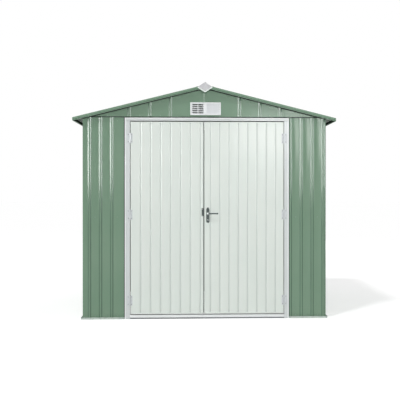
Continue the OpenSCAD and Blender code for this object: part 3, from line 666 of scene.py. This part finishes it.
def gableSheet(node, atBack, lapped, mirrored):
    # one half of a gable, drawn at the right of the front; the lapped one covers the middle
    low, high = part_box(node)
    reach = max(abs(low.x), abs(high.x))
    lap, out = gable["lapHalf"], gable["lapOut"]
    corners = [(-lap, -out, 0), (lap - out, -out, 0), (lap, 0, 0)] if lapped else [(-lap / 2, 0, 0)]
    for centre in gable["ribs"]:
        corners += ribCorners(centre, walls["foot"], walls["top"], walls["high"])
    bm = bmesh.new()
    foldedLine(bm, corners + [(reach, 0, 0)], gable["lapBend"] if lapped else walls["bend"])
    drawOut(bm, (0, 0, high.z - low.z + gable["spare"]))
    bmesh.ops.translate(bm, verts=bm.verts[:], vec=(0, -walls["halfDepth"], low.z))
    ridge = low.z + reach * gable["slope"]     # where both roof planes meet over the middle
    for way in (1, -1):
        cutAcross(bm, (0, 0, ridge), Vector((way * gable["slope"], 0, 1)).normalized(), True)
    flip = -1 if mirrored else 1
    border = gable["ventBorder"]
    sides = sorted([flip * (gable["ventFrom"] + border), flip * (gable["ventTo"] - border)])
    lapZone = [ventLow.z - gable["lapClear"], ventHigh.z + gable["lapClear"]]
    for x in sides:
        cutAcross(bm, (x, 0, 0), (1, 0, 0))
    for z in [ventLow.z + border, ventHigh.z - border] + lapZone:
        cutAcross(bm, (0, 0, z), (0, 0, 1))
    gone = []
    for face in bm.faces:
        middle = face.calc_center_median()
        inVent = (sides[0] < middle.x < sides[1]
                  and ventLow.z + border < middle.z < ventHigh.z - border)
        overLap = (middle.y < -walls["halfDepth"] - out / 3 and abs(middle.x) < 2 * lap
                   and lapZone[0] < middle.z < lapZone[1])
        if inVent or overLap:
            gone.append(face)
    bmesh.ops.delete(bm, geom=gone, context="FACES")
    if mirrored:
        bmesh.ops.scale(bm, vec=(-1, 1, 1), verts=bm.verts[:])
    asSheet(node, bm, ["gableGreen", "back"], (0, -1, 0),
            turn=Matrix.Rotation(math.pi, 4, "Z") if atBack else None)


gableSheet("front_gable_left", False, True, True)
gableSheet("front_gable_right", False, False, False)
gableSheet("back_gable_left", True, False, False)
gableSheet("back_gable_right", True, True, True)
print("gables made")


# roof

roof = {"ridgeGap": 0.002, "bend": 0.0048, "overWall": 0.006, "crown": 0.0006, "ribs": 17,
        "round": 0.0005}
pitch = math.atan(gable["slope"])
panPeak = sideHigh.z + roof["overWall"] + walls["halfWidth"] * gable["slope"]
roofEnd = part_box("roof_right")[1].y
roofRibs = [roofEnd - walls["firstRib"] - i * walls["pitch"] for i in range(roof["ribs"])]


def panHeight(x):
    # underside of the roof's pans
    return panPeak - abs(x) * gable["slope"]


def roofHalf(node, way):
    low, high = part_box(node)
    rise = walls["sheet"] + walls["high"]
    reach = max(abs(low.x), abs(high.x)) - roof["ridgeGap"]
    run = (reach - rise * math.sin(pitch)) / math.cos(pitch)
    corners = [(0, high.y, walls["sheet"])]
    for centre in roofRibs:
        for x, z, _ in ribCorners(0, walls["foot"], walls["top"], walls["high"]):
            corners.append((0, centre - x, walls["sheet"] - z))
    bm = bmesh.new()
    foldedLine(bm, corners + [(0, low.y, walls["sheet"])], roof["bend"], (0, 0, roof["crown"]))
    drawOut(bm, (run, 0, 0))
    bmesh.ops.rotate(bm, cent=(0, 0, 0), matrix=Matrix.Rotation(pitch, 3, "Y"), verts=bm.verts[:])
    bmesh.ops.translate(bm, verts=bm.verts[:],
                        vec=(roof["ridgeGap"], 0, panHeight(roof["ridgeGap"])))
    if way < 0:
        bmesh.ops.scale(bm, vec=(-1, 1, 1), verts=bm.verts[:])
    asSheet(node, bm, ["roofGreen", "soffit"], (0, 0, 1))


roofHalf("roof_right", 1)
roofHalf("roof_left", -1)
softened("ridge_cap", "roofGreen", roof["round"])


# ridge end plates: a kite of plastic with a paler folded rim below

endPlate = {"rim": 0.0105, "round": 0.0018, "steps": 3, "sideUp": 0.0495}
plateLow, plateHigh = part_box("ridge_end_plates")
# the way in from the lower right edge
kiteIn = Vector((-endPlate["sideUp"], 0, plateHigh.x)).normalized()


def isRim(face):
    # beside the lower edges
    middle = face.calc_center_median()
    inside = Vector((abs(middle.x), 0, middle.z - plateLow.z)).dot(kiteIn)
    return 1 if inside < endPlate["rim"] else 0


rimCuts = []
for way in (1, -1):
    inward = Vector((way * kiteIn.x, 0, kiteIn.z))
    rimCuts.append((Vector((0, 0, plateLow.z)) + inward * endPlate["rim"], inward))
softened("ridge_end_plates", ["plate", "plateRim"], endPlate["round"],
         endPlate["steps"], isRim, rimCuts)
for name in ("verge_trims_front", "verge_trims_back", "eave_trim_left", "eave_trim_right"):
    softened(name, "greenTrim", roof["round"])
print("roof made")


# base, frame and door frame

rounding = {"sheet": 0.0004, "pin": 0.0006, "fitting": 0.0008, "doorFrame": 0.0009, "vent": 0.0014}
doorFrame = {"lip": 0.0035, "sillFoot": 0.0145, "steps": 3}
frameLow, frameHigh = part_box("door_header")

for name in ("base_rail_front", "base_rail_back", "base_rail_left", "base_rail_right"):
    softened(name, "rail", rounding["sheet"])
# the top rails take the dark zinc, painted shade of the slot they show through
for finish, names in (("zinc", ("corner_posts", "mid_rails", "rafters", "ridge_beam", "purlins")),
                      ("shadedZinc", ("top_rail_front", "top_rail_back", "top_rails_side"))):
    for name in names:
        nodes[name].data.materials.clear()
        nodes[name].data.materials.append(finishes[finish])


def isLip(face):
    # the raised outer edge of the door frame
    return 1 if face.calc_center_median().y < frameLow.y + doorFrame["lip"] else 0


def isFoot(face):
    # the set-back foot of the sill, coloured dark as painted shade
    return 1 if face.calc_center_median().z < doorFrame["sillFoot"] else 0


# the lip and the sill above its foot take the paler coat, a painted highlight
for name in ("door_jamb_left", "door_jamb_right", "door_header"):
    softened(name, ["frame", "lip"], rounding["doorFrame"], doorFrame["steps"], isLip)
softened("door_sill", ["lip", "grime"], rounding["doorFrame"], doorFrame["steps"],
         isFoot)
softened("vent_frames", "vent", rounding["vent"])
softened("vent_grilles", "vent", rounding["sheet"])
softened("vent_shutters", "shutter", rounding["sheet"])
print("base, frame and vents made")


# doors

doors = {
    "grooveWidth": 0.022, "grooveFloor": 0.010, "grooveDeep": 0.005, "bend": 0.0034, "crown": 0.0004,
    "left": {"first": 0.100, "step": 0.099, "count": 7},
    "right": {"first": 0.061, "step": 0.093, "count": 8}}


def doorSheet(node, body, grooves):
    low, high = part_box(node)
    corners = [(low.x, high.y, 0), (low.x, low.y, 0)]
    for i in range(grooves["count"]):
        centre = low.x + grooves["first"] + i * grooves["step"]
        for x, y, _ in ribCorners(centre, doors["grooveWidth"], doors["grooveFloor"],
                                  -doors["grooveDeep"]):
            corners.append((x, low.y + y, 0))
    corners += [(high.x, low.y, 0), (high.x, high.y, 0)]
    bm = bmesh.new()
    foldedLine(bm, corners, doors["bend"], (0, -doors["crown"], 0))
    drawOut(bm, (0, 0, high.z - low.z))
    asSheet(node, bm, ["door", "back"], (0, -1, 0), body,
            Matrix.Translation((0, 0, low.z)))


doorSheet("left_door_sheet", "left_door", doors["left"])
doorSheet("right_door_sheet", "right_door", doors["right"])
softened("left_door_frame", "doorTrim", rounding["sheet"])
softened("right_door_frame", "doorTrim", rounding["sheet"])
for name in ("jamb_hinges", "left_door_hinges", "right_door_hinges"):
    softened(name, "hinge", rounding["sheet"])
softened("hinge_pins", "pin", rounding["pin"])
softened("strike_plate", "lock", rounding["sheet"])
softened("handle_plates", "lock", rounding["fitting"])
softened("latch_bolt", "bright", rounding["fitting"])

lever = {"hub": 0.026, "steps": 2}
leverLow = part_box("lever_handle")[0]


def isHub(face):
    # the turned hub stays bright, the bar is dark
    return 1 if face.calc_center_median().x < leverLow.x + lever["hub"] else 0


softened("lever_handle", ["lock", "bright"], rounding["fitting"], lever["steps"], isHub)
print("doors made")


# closure strips: dark foam and sealant at the roof edges and beside the door frame, put where shade
# lines fall: partly real closures, partly painted shade

closure = {
    "proud": 0.0105, "drop": 0.003, "high": 0.022, "skin": 0.0004, "middle": 0.004,
    "pastWall": 0.002, "eaveIn": 0.0016, "eaveWide": 0.017, "eaveHigh": 0.013, "eaveDown": 0.003,
    "eaveEnd": 0.002, "jambWide": 0.0085, "jambProud": 0.0075, "jambLift": 0.001}
shadeBead = {"high": 0.0060, "out": 0.0022, "start": 0.070, "end": 0.006, "sink": 0.0005,
        "over": 0.0003}
gableSides = ((-1, -1), (-1, 1), (1, -1), (1, 1))     # front and back, left and right
trim = {"lowerBand": 0.014, "step": 0.003, "upperBand": 0.018}
vergeLow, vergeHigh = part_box("verge_trims_front")
eaveLow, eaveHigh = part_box("eave_trim_left")
trimBottom = vergeLow.z - panHeight(vergeHigh.x)     # the trims' lower edge from the pan line


def addBlock(bm, first, second, turn=None, finish=0):
    # a box between two corners, turned about the origin when asked
    low = Vector(map(min, first, second))
    high = Vector(map(max, first, second))
    corners = bmesh.ops.create_cube(bm, size=1.0)["verts"]
    bmesh.ops.scale(bm, vec=high - low, verts=corners)
    bmesh.ops.translate(bm, vec=(low + high) / 2, verts=corners)
    if turn is not None:
        bmesh.ops.transform(bm, matrix=turn, verts=corners)
    for corner in corners:
        for face in corner.link_faces:
            face.material_index = finish


def closureShadeStrips():
    bm = bmesh.new()
    level = math.cos(pitch)
    low = trimBottom - closure["drop"]
    top = min(low + closure["high"], -closure["skin"])
    step = (trimBottom + trim["lowerBand"]) * level
    lowFace = abs(vergeLow.y) - trim["step"]
    for face, way in gableSides:
        lean = Matrix.Translation((0, 0, panPeak)) @ Matrix.Rotation(way * pitch, 4, "Y")
        addBlock(bm, (way * closure["middle"], face * (walls["halfDepth"] + closure["skin"]), low),
                 (way * (walls["halfWidth"] + closure["pastWall"]) / level,
                  face * (walls["halfDepth"] + closure["proud"]), top), lean)
        # a darker bead in the step between a verge trim's two bands: a painted shade line
        addBlock(bm, (way * shadeBead["start"], face * (lowFace - shadeBead["sink"]), step - shadeBead["high"]),
                 (way * (vergeHigh.x - shadeBead["end"]) / level, face * (lowFace + shadeBead["out"]),
                  step + shadeBead["over"]), lean, 1)
    for way in (-1, 1):
        outer = abs(eaveLow.x) - closure["eaveIn"]
        z = panHeight(outer)
        addBlock(bm, (way * outer, eaveLow.y + closure["eaveEnd"], z - closure["eaveDown"]),
                 (way * (outer - closure["eaveWide"]), eaveHigh.y - closure["eaveEnd"],
                  z + closure["eaveHigh"]))
    for edge, way in ((frameLow.x, -1), (frameHigh.x, 1)):
        addBlock(bm, (edge, -walls["halfDepth"], leftLow.z + closure["jambLift"]),
                 (edge + way * closure["jambWide"], -walls["halfDepth"] - closure["jambProud"],
                  leftHigh.z))
    asPiece("closureShadeStrips", bm, ["rubber", "sealant"], "shell")


closureShadeStrips()
print("closure strips made")


# rubber seal on the left door's closing edge

meetingSeal = {"reach": 0.0082, "front": -0.902, "back": -0.897, "clear": 0.004, "sink": 0.0002,
               "round": 0.0012}


def makeMeetingSeal():
    low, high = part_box("left_door_sheet")
    bm = bmesh.new()
    addBlock(bm, (high.x - meetingSeal["sink"], meetingSeal["front"], low.z + meetingSeal["clear"]),
             (high.x + meetingSeal["reach"], meetingSeal["back"], high.z - meetingSeal["clear"]))
    roundEdges(bm, bm.edges[:], meetingSeal["round"])
    asPiece("meetingSeal", bm, "greyRubber", "left_door")


# closed slats of the shutters

shutterRibs = {"from": 0.024, "to": 0.133, "pitch": 0.0190, "high": 0.0028, "proud": 0.0016,
               "sink": 0.0003}


def makeShutterRibs():
    low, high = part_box("vent_shutters")
    bm = bmesh.new()
    for face in (-1, 1):
        for i in range(-2, 3):
            z = (low.z + high.z) / 2 + i * shutterRibs["pitch"]
            addBlock(bm, (-face * shutterRibs["from"], face * (high.y - shutterRibs["sink"]), z),
                     (-face * shutterRibs["to"], face * (high.y + shutterRibs["proud"]),
                      z + shutterRibs["high"]))
    asPiece("shutterRibs", bm, "shutter", "shell")


makeMeetingSeal()
makeShutterRibs()
print("seal and slats made")


# screws and washers: each head is turned once and copied to its spots

profiles = {
    # (share of the radius, share of the height) from the middle outwards, and the steps round
    "flange": ([(0, 0.62), (0.3, 0.62), (0.34, 0.95), (0.45, 1), (0.62, 0.8), (0.68, 0.3),
                (1, 0.24)], 14),
    "dome": ([(0, 1), (0.4, 0.93), (0.75, 0.6), (0.97, 0.2)], 12),
    "disc": ([(0, 1), (0.9, 1), (1, 0.6)], 14)}
headSink = 0.0003     # every head reaches a little into what it sits on


def turnedHead(profile, radius, height):
    outline, steps = profiles[profile]
    bm = bmesh.new()
    verts = [bm.verts.new((radius * r, 0, height * h)) for r, h in outline]
    verts.append(bm.verts.new((radius, 0, -headSink)))
    edges = [bm.edges.new(pair) for pair in zip(verts, verts[1:])]
    bmesh.ops.spin(bm, geom=verts + edges, cent=(0, 0, 0), axis=(0, 0, 1), angle=2 * math.pi,
                   steps=steps, dvec=(0, 0, 0), use_merge=True)
    bmesh.ops.remove_doubles(bm, verts=bm.verts[:], dist=1e-6)
    bmesh.ops.recalc_face_normals(bm, faces=bm.faces[:])
    shadeSmooth(bm, 42)
    mesh = bpy.data.meshes.new("template")
    bm.to_mesh(mesh)
    bm.free()
    return mesh


heads = {
    "sheet": turnedHead("flange", 0.0050, 0.0030), "roof": turnedHead("flange", 0.0052, 0.0042),
    "small": turnedHead("dome", 0.0034, 0.0016), "lock": turnedHead("flange", 0.0038, 0.0018),
    "washer": turnedHead("disc", 0.0080, 0.0014)}
sheetScrews = {
    "proud": 0.0001, "wallHeights": (0.032, 1.015, 1.972),
    "gableFoot": 2.030, "gableFootAcross": (-0.97, -0.65, -0.447, 0.447, 0.65, 0.97),
    "gableDrop": 0.040, "gableTopAcross": (-0.65, -0.447, -0.25, 0.25, 0.447, 0.65),
    "roofAcross": (0.16, 0.62, 1.19), "washerLift": 0.0106, "headLift": 0.0013,
    "vergeFirst": 0.16, "vergeStep": 0.265, "vergeCount": 5, "ridgeOut": 0.072}


def setHeads(name, kind, spots, finish="greenScrew", body="shell"):
    # copies of one head, each on its spot and facing its way
    template = heads[kind]
    bm = bmesh.new()
    for place, facing in spots:
        before = len(bm.verts)
        bm.from_mesh(template)
        bm.verts.ensure_lookup_table()
        turn = Vector((0, 0, 1)).rotation_difference(Vector(facing)).to_matrix().to_4x4()
        bmesh.ops.transform(bm, matrix=Matrix.Translation(place) @ turn, verts=bm.verts[before:])
    asPiece(name, bm, finish, body)


def wallSpots():
    # on every other pan, at the base rail, the middle rail and the top rail
    spots = []
    sideRibs = [c for run in sideRuns for c in run[2]]
    backRibs = [c for run in backRuns for c in run[2]]
    for side, ribs, end in ((0, frontLeftRibs, leftHigh.x), (0, frontRightRibs, rightHigh.x),
                            (1, sideRibs, sideHigh.y), (3, sideRibs, sideHigh.y),
                            (2, backRibs, walls["halfWidth"])):
        turn = wallTurn(side)
        facing = turn.to_3x3() @ Vector((0, -1, 0))
        pans = [c + walls["pitch"] / 2 for c in ribs if c + walls["pitch"] < end]
        for x in pans[::2]:
            for z in sheetScrews["wallHeights"]:
                spots.append((turn @ Vector((x, sheetScrews["proud"], z)), facing))
    return spots


def gableSpots():
    spots = []
    for face in (-1, 1):
        facing = (0, face, 0)
        y = face * (walls["halfDepth"] + sheetScrews["proud"])
        for x in sheetScrews["gableFootAcross"]:
            spots.append(((x, y, sheetScrews["gableFoot"]), facing))
        for x in sheetScrews["gableTopAcross"]:
            spots.append(((x, y, panHeight(x) - sheetScrews["gableDrop"]), facing))
    return spots


def roofNormal(way):
    return Vector((way * math.sin(pitch), 0, math.cos(pitch)))


def slopeSpots():
    # on every other roof rib, over the purlins and above the eaves
    spots, washers = [], []
    for way in (-1, 1):
        normal = roofNormal(way)
        for y in roofRibs[::2]:
            for x in sheetScrews["roofAcross"]:
                foot = Vector((way * x, y, panHeight(x))) + normal * sheetScrews["washerLift"]
                washers.append((foot, normal))
                spots.append((foot + normal * sheetScrews["headLift"], normal))
    return spots, washers


def vergeSpots():
    # on the upper band of each verge trim
    spots = []
    rise = trimBottom + trim["lowerBand"] + trim["upperBand"] / 2
    for face, way in gableSides:
        for i in range(sheetScrews["vergeCount"]):
            x = way * (sheetScrews["vergeFirst"] + i * sheetScrews["vergeStep"])
            spots.append(((x, face * abs(vergeLow.y), panHeight(x) + rise), (0, face, 0)))
    return spots


def ridgeSpots():
    # through the cap into the roof sheets' ribs
    out = sheetScrews["ridgeOut"]
    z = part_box("ridge_cap")[1].z - out * gable["slope"]
    return [((way * out, y, z), roofNormal(way)) for way in (-1, 1) for y in roofRibs[::2]]


roofHeads, roofWashers = slopeSpots()
setHeads("wallScrews", "sheet", wallSpots())
setHeads("gableScrews", "sheet", gableSpots())
setHeads("roofScrews", "roof", roofHeads)
setHeads("roofWashers", "washer", roofWashers, "rubber")
setHeads("vergeScrews", "sheet", vergeSpots())
setHeads("ridgeScrews", "roof", ridgeSpots())

# small screws of the door frame, the hinges and the vents
frameScrews = {
    "jambs": (-0.7625, 0.8105), "heights": (0.42, 0.80, 1.28, 1.58),
    "headerAcross": (-0.55, -0.18, 0.20, 0.58), "headerHeight": 1.985, "flat": 0.0050}
hingeScrews = {
    "heights": (0.185, 1.040, 1.802), "apart": (-0.036, 0.036), "leafOut": 0.0070,
    "leftDoor": [-0.7295], "rightDoor": [0.7775]}
ventScrews = {"across": (-0.1395, 0.006, 0.1515), "in": 0.007}


def doorFrameSpots():
    # in the flat of the jambs, between the hinges, and along the header
    flat = frameLow.y + frameScrews["flat"]
    spots = [((x, flat, z), (0, -1, 0)) for x in frameScrews["jambs"] for z in frameScrews["heights"]]
    return spots + [((x, flat, frameScrews["headerHeight"]), (0, -1, 0))
                    for x in frameScrews["headerAcross"]]


def hingeSpots(across):
    # two screws in each leaf
    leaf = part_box("hinge_pins")[0].y + hingeScrews["leafOut"]
    return [((x, leaf, z + up), (0, -1, 0))
            for x in across for z in hingeScrews["heights"] for up in hingeScrews["apart"]]


def ventSpots():
    spots = []
    for face in (-1, 1):
        for x in ventScrews["across"]:
            for z in (ventLow.z + ventScrews["in"], ventHigh.z - ventScrews["in"]):
                spots.append(((-face * x, face * abs(ventLow.y), z), (0, face, 0)))
    return spots


setHeads("frameScrews", "small", doorFrameSpots(), "screw", "shell")
for name, across, body in (("jambHingeScrews", frameScrews["jambs"], "shell"),
                           ("leftHingeScrews", hingeScrews["leftDoor"], "left_door"),
                           ("rightHingeScrews", hingeScrews["rightDoor"], "right_door")):
    setHeads(name, "small", hingeSpots(across), "pin", body)
setHeads("ventScrews", "small", ventSpots(), "paleScrew", "shell")

# screws of the lock's plates
lockScrews = {"low": 0.0055, "high": 0.0085, "strikeIn": 0.0070, "strikeEnd": 0.010}
lockLow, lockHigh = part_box("handle_plates")
lockMiddle = (lockLow.x + lockHigh.x) / 2
strikeLow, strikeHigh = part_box("strike_plate")
plateHeights = (lockLow.z + lockScrews["low"], lockHigh.z - lockScrews["high"])
strikeHeights = (strikeLow.z + lockScrews["strikeEnd"], strikeHigh.z - lockScrews["strikeEnd"])
for name, x, y, way, heights, body in (
        ("plateScrews", lockMiddle, lockLow.y, -1, plateHeights, "right_door"),
        ("innerPlateScrews", lockMiddle, lockHigh.y, 1, plateHeights, "right_door"),
        ("strikeScrews", strikeLow.x + lockScrews["strikeIn"], strikeLow.y, -1, strikeHeights,
         "left_door")):
    setHeads(name, "lock", [((x, y, z), (0, way, 0)) for z in heights], "bright", body)
print("screws made")


# key cylinder: a round barrel over a narrower tail, with its key slot as a dark block: painted shade
# of the keyway

cylinder = {
    "z": 0.987, "radius": 0.0085, "proud": 0.0022, "rim": 0.0005, "sink": 0.001,
    "tail": 0.0050, "tailDown": 0.0200, "tailShare": 0.98, "plug": 0.0062, "plugProud": 0.0028,
    "slotWide": 0.0014, "slotHigh": 0.0085, "slotProud": 0.0029}


def addDisc(bm, radius, place, proud, finish):
    # a short round boss on the plate, its rims rounded
    turn = Matrix.Translation(place) @ Matrix.Rotation(math.radians(90), 4, "X")
    before = set(bm.faces)
    ends = bmesh.ops.create_cone(bm, cap_ends=True, segments=40, radius1=radius, radius2=radius,
                                 depth=2 * proud, matrix=turn)["verts"]
    rims = {e for v in ends for e in v.link_edges if e.calc_length() < radius * 0.3}
    roundEdges(bm, list(rims), cylinder["rim"])
    for face in set(bm.faces) - before:
        face.material_index = finish


def keyCylinder():
    bm = bmesh.new()
    z = cylinder["z"]
    tail, halfSlot, slotUp = cylinder["tail"], cylinder["slotWide"] / 2, cylinder["slotHigh"] / 2
    for face, way in ((lockLow.y, -1), (lockHigh.y, 1)):
        addBlock(bm, (lockMiddle - tail, face - way * cylinder["sink"], z - cylinder["tailDown"]),
                 (lockMiddle + tail, face + way * cylinder["proud"] * cylinder["tailShare"], z))
        addDisc(bm, cylinder["radius"], (lockMiddle, face, z), cylinder["proud"], 0)
        addDisc(bm, cylinder["plug"], (lockMiddle, face, z), cylinder["plugProud"], 1)
        addBlock(bm, (lockMiddle - halfSlot, face, z - slotUp),
                 (lockMiddle + halfSlot, face + way * cylinder["slotProud"], z + slotUp), None, 2)
    bmesh.ops.recalc_face_normals(bm, faces=bm.faces[:])
    asPiece("keyCylinder", bm, ["lock", "bright", "rubber"], "right_door")


keyCylinder()
print("key cylinder made")


# floor, light and camera

studio = {
    "floorSize": 60.0, "floorDown": 0.0005, "floorColour": 0.70, "floorGlow": 0.52, "ambient": 0.42,
    "sunStrength": 1.0, "sunSpread": 6.0, "sunTowards": (0.94, 1.045, -2.0), "sunBack": 5}
boxLamps = [
    # name, place, aim, width and height, power, roll in degrees, what does not see it
    ("frontFill", (0.3, -10.5, 2.4), (0.2, -0.9, 1.1), (5.0, 3.0), 270.0, 0, "glossy"),
    ("backFill", (4.5, 8.5, 3.0), (0.4, 0.3, 1.1), (5.0, 3.0), 130.0, 0, "glossy"),
    ("cornerBox", (1.38, -7.5, 2.34), (0.69, -0.9, 1.81), (0.85, 0.78), 19.0, -17, None),
    ("endBox", (2.06, -7.5, 2.90), (1.02, -0.9, 2.08), (0.75, 0.30), 8.5, -17, None),
    ("stripBox", (4.5, -2.7, 2.50), (-1.0, -1.1, 1.9), (3.6, 2.4), 387.0, 0, "diffuse"),
    ("stripBox", (-4.5, -2.7, 2.50), (1.0, -1.1, 1.9), (3.6, 2.4), 473.0, 0, "diffuse")]
view = {"place": (-0.10, -7.515, 1.285), "turn": 2.0, "focal": 660.0, "frame": 400.0,
        "sensor": 36.0, "shift": (-0.045, -0.025), "clipEnd": 200.0}


def whiteToLens(tree):
    # 1 for what the lens, a reflection or glass sees directly
    path = put(tree, "LightPath").outputs
    seen = calc(tree, "ADD", path["Is Camera Ray"], path["Is Glossy Ray"])
    return calc(tree, "ADD", seen, path["Is Transmission Ray"], clamp=True)


def makeFloor():
    bm = bmesh.new()
    bmesh.ops.create_grid(bm, x_segments=1, y_segments=1, size=studio["floorSize"])
    mesh = bpy.data.meshes.new("studioFloor")
    bm.to_mesh(mesh)
    bm.free()
    floor = intoScene("studioFloor", mesh)
    floor.location.z = -studio["floorDown"]
    material = bpy.data.materials.new("studioWhite")
    tree = emptyTree(material)
    level = studio["floorColour"]
    matt = put(tree, "BsdfDiffuse", {"Color": (level, level, level, 1)})
    glow = times(tree, whiteToLens(tree), studio["floorGlow"])
    lamp = put(tree, "Emission", {"Color": (1, 1, 1, 1), "Strength": glow})
    both = put(tree, "AddShader", {0: matt.outputs[0], 1: lamp.outputs[0]})
    output = put(tree, "OutputMaterial")
    tree.links.new(both.outputs[0], output.inputs[0])
    mesh.materials.append(material)
    floor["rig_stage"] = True


def makeWorld():
    world = bpy.data.worlds.new("studioWorld")
    bpy.context.scene.world = world
    tree = emptyTree(world)
    level = spread(tree, whiteToLens(tree), 0.0, 1.0, studio["ambient"], 1.0)
    sky = put(tree, "Background", {"Color": (1, 1, 1, 1), "Strength": level})
    output = put(tree, "OutputWorld")
    tree.links.new(sky.outputs[0], output.inputs[0])


def makeLamp(name, kind, place, aim, **settings):
    lamp = bpy.data.lights.new(name, kind)
    for key, value in settings.items():
        setattr(lamp, key, value)
    holder = intoScene(name, lamp)
    holder.location = place
    holder.rotation_euler = (Vector(aim) - Vector(place)).to_track_quat("-Z", "Y").to_euler()
    holder.visible_camera = False
    return holder


def makeCamera():
    lens = bpy.data.cameras.new("lens")
    lens.sensor_width = view["sensor"]
    lens.lens = view["sensor"] * view["focal"] / view["frame"]
    lens.shift_x, lens.shift_y = view["shift"]
    lens.clip_end = view["clipEnd"]
    camera = intoScene("camera", lens)
    camera.location = view["place"]
    camera.rotation_euler = (math.radians(90), 0, -math.radians(view["turn"]))
    bpy.context.scene.camera = camera


makeFloor()
makeWorld()
makeLamp("keySun", "SUN", -studio["sunBack"] * Vector(studio["sunTowards"]), (0, 0, 0),
         energy=studio["sunStrength"], angle=math.radians(studio["sunSpread"]))
for name, place, aim, (wide, high), power, roll, blind in boxLamps:
    holder = makeLamp(name, "AREA", place, aim, shape="RECTANGLE", size=wide, size_y=high,
                      energy=power)
    holder.rotation_euler.rotate_axis("Z", math.radians(roll))
    if blind:
        setattr(holder, "visible_" + blind, False)
makeCamera()
bpy.context.scene.view_settings.view_transform = "Standard"
print("studio made")

low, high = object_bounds()
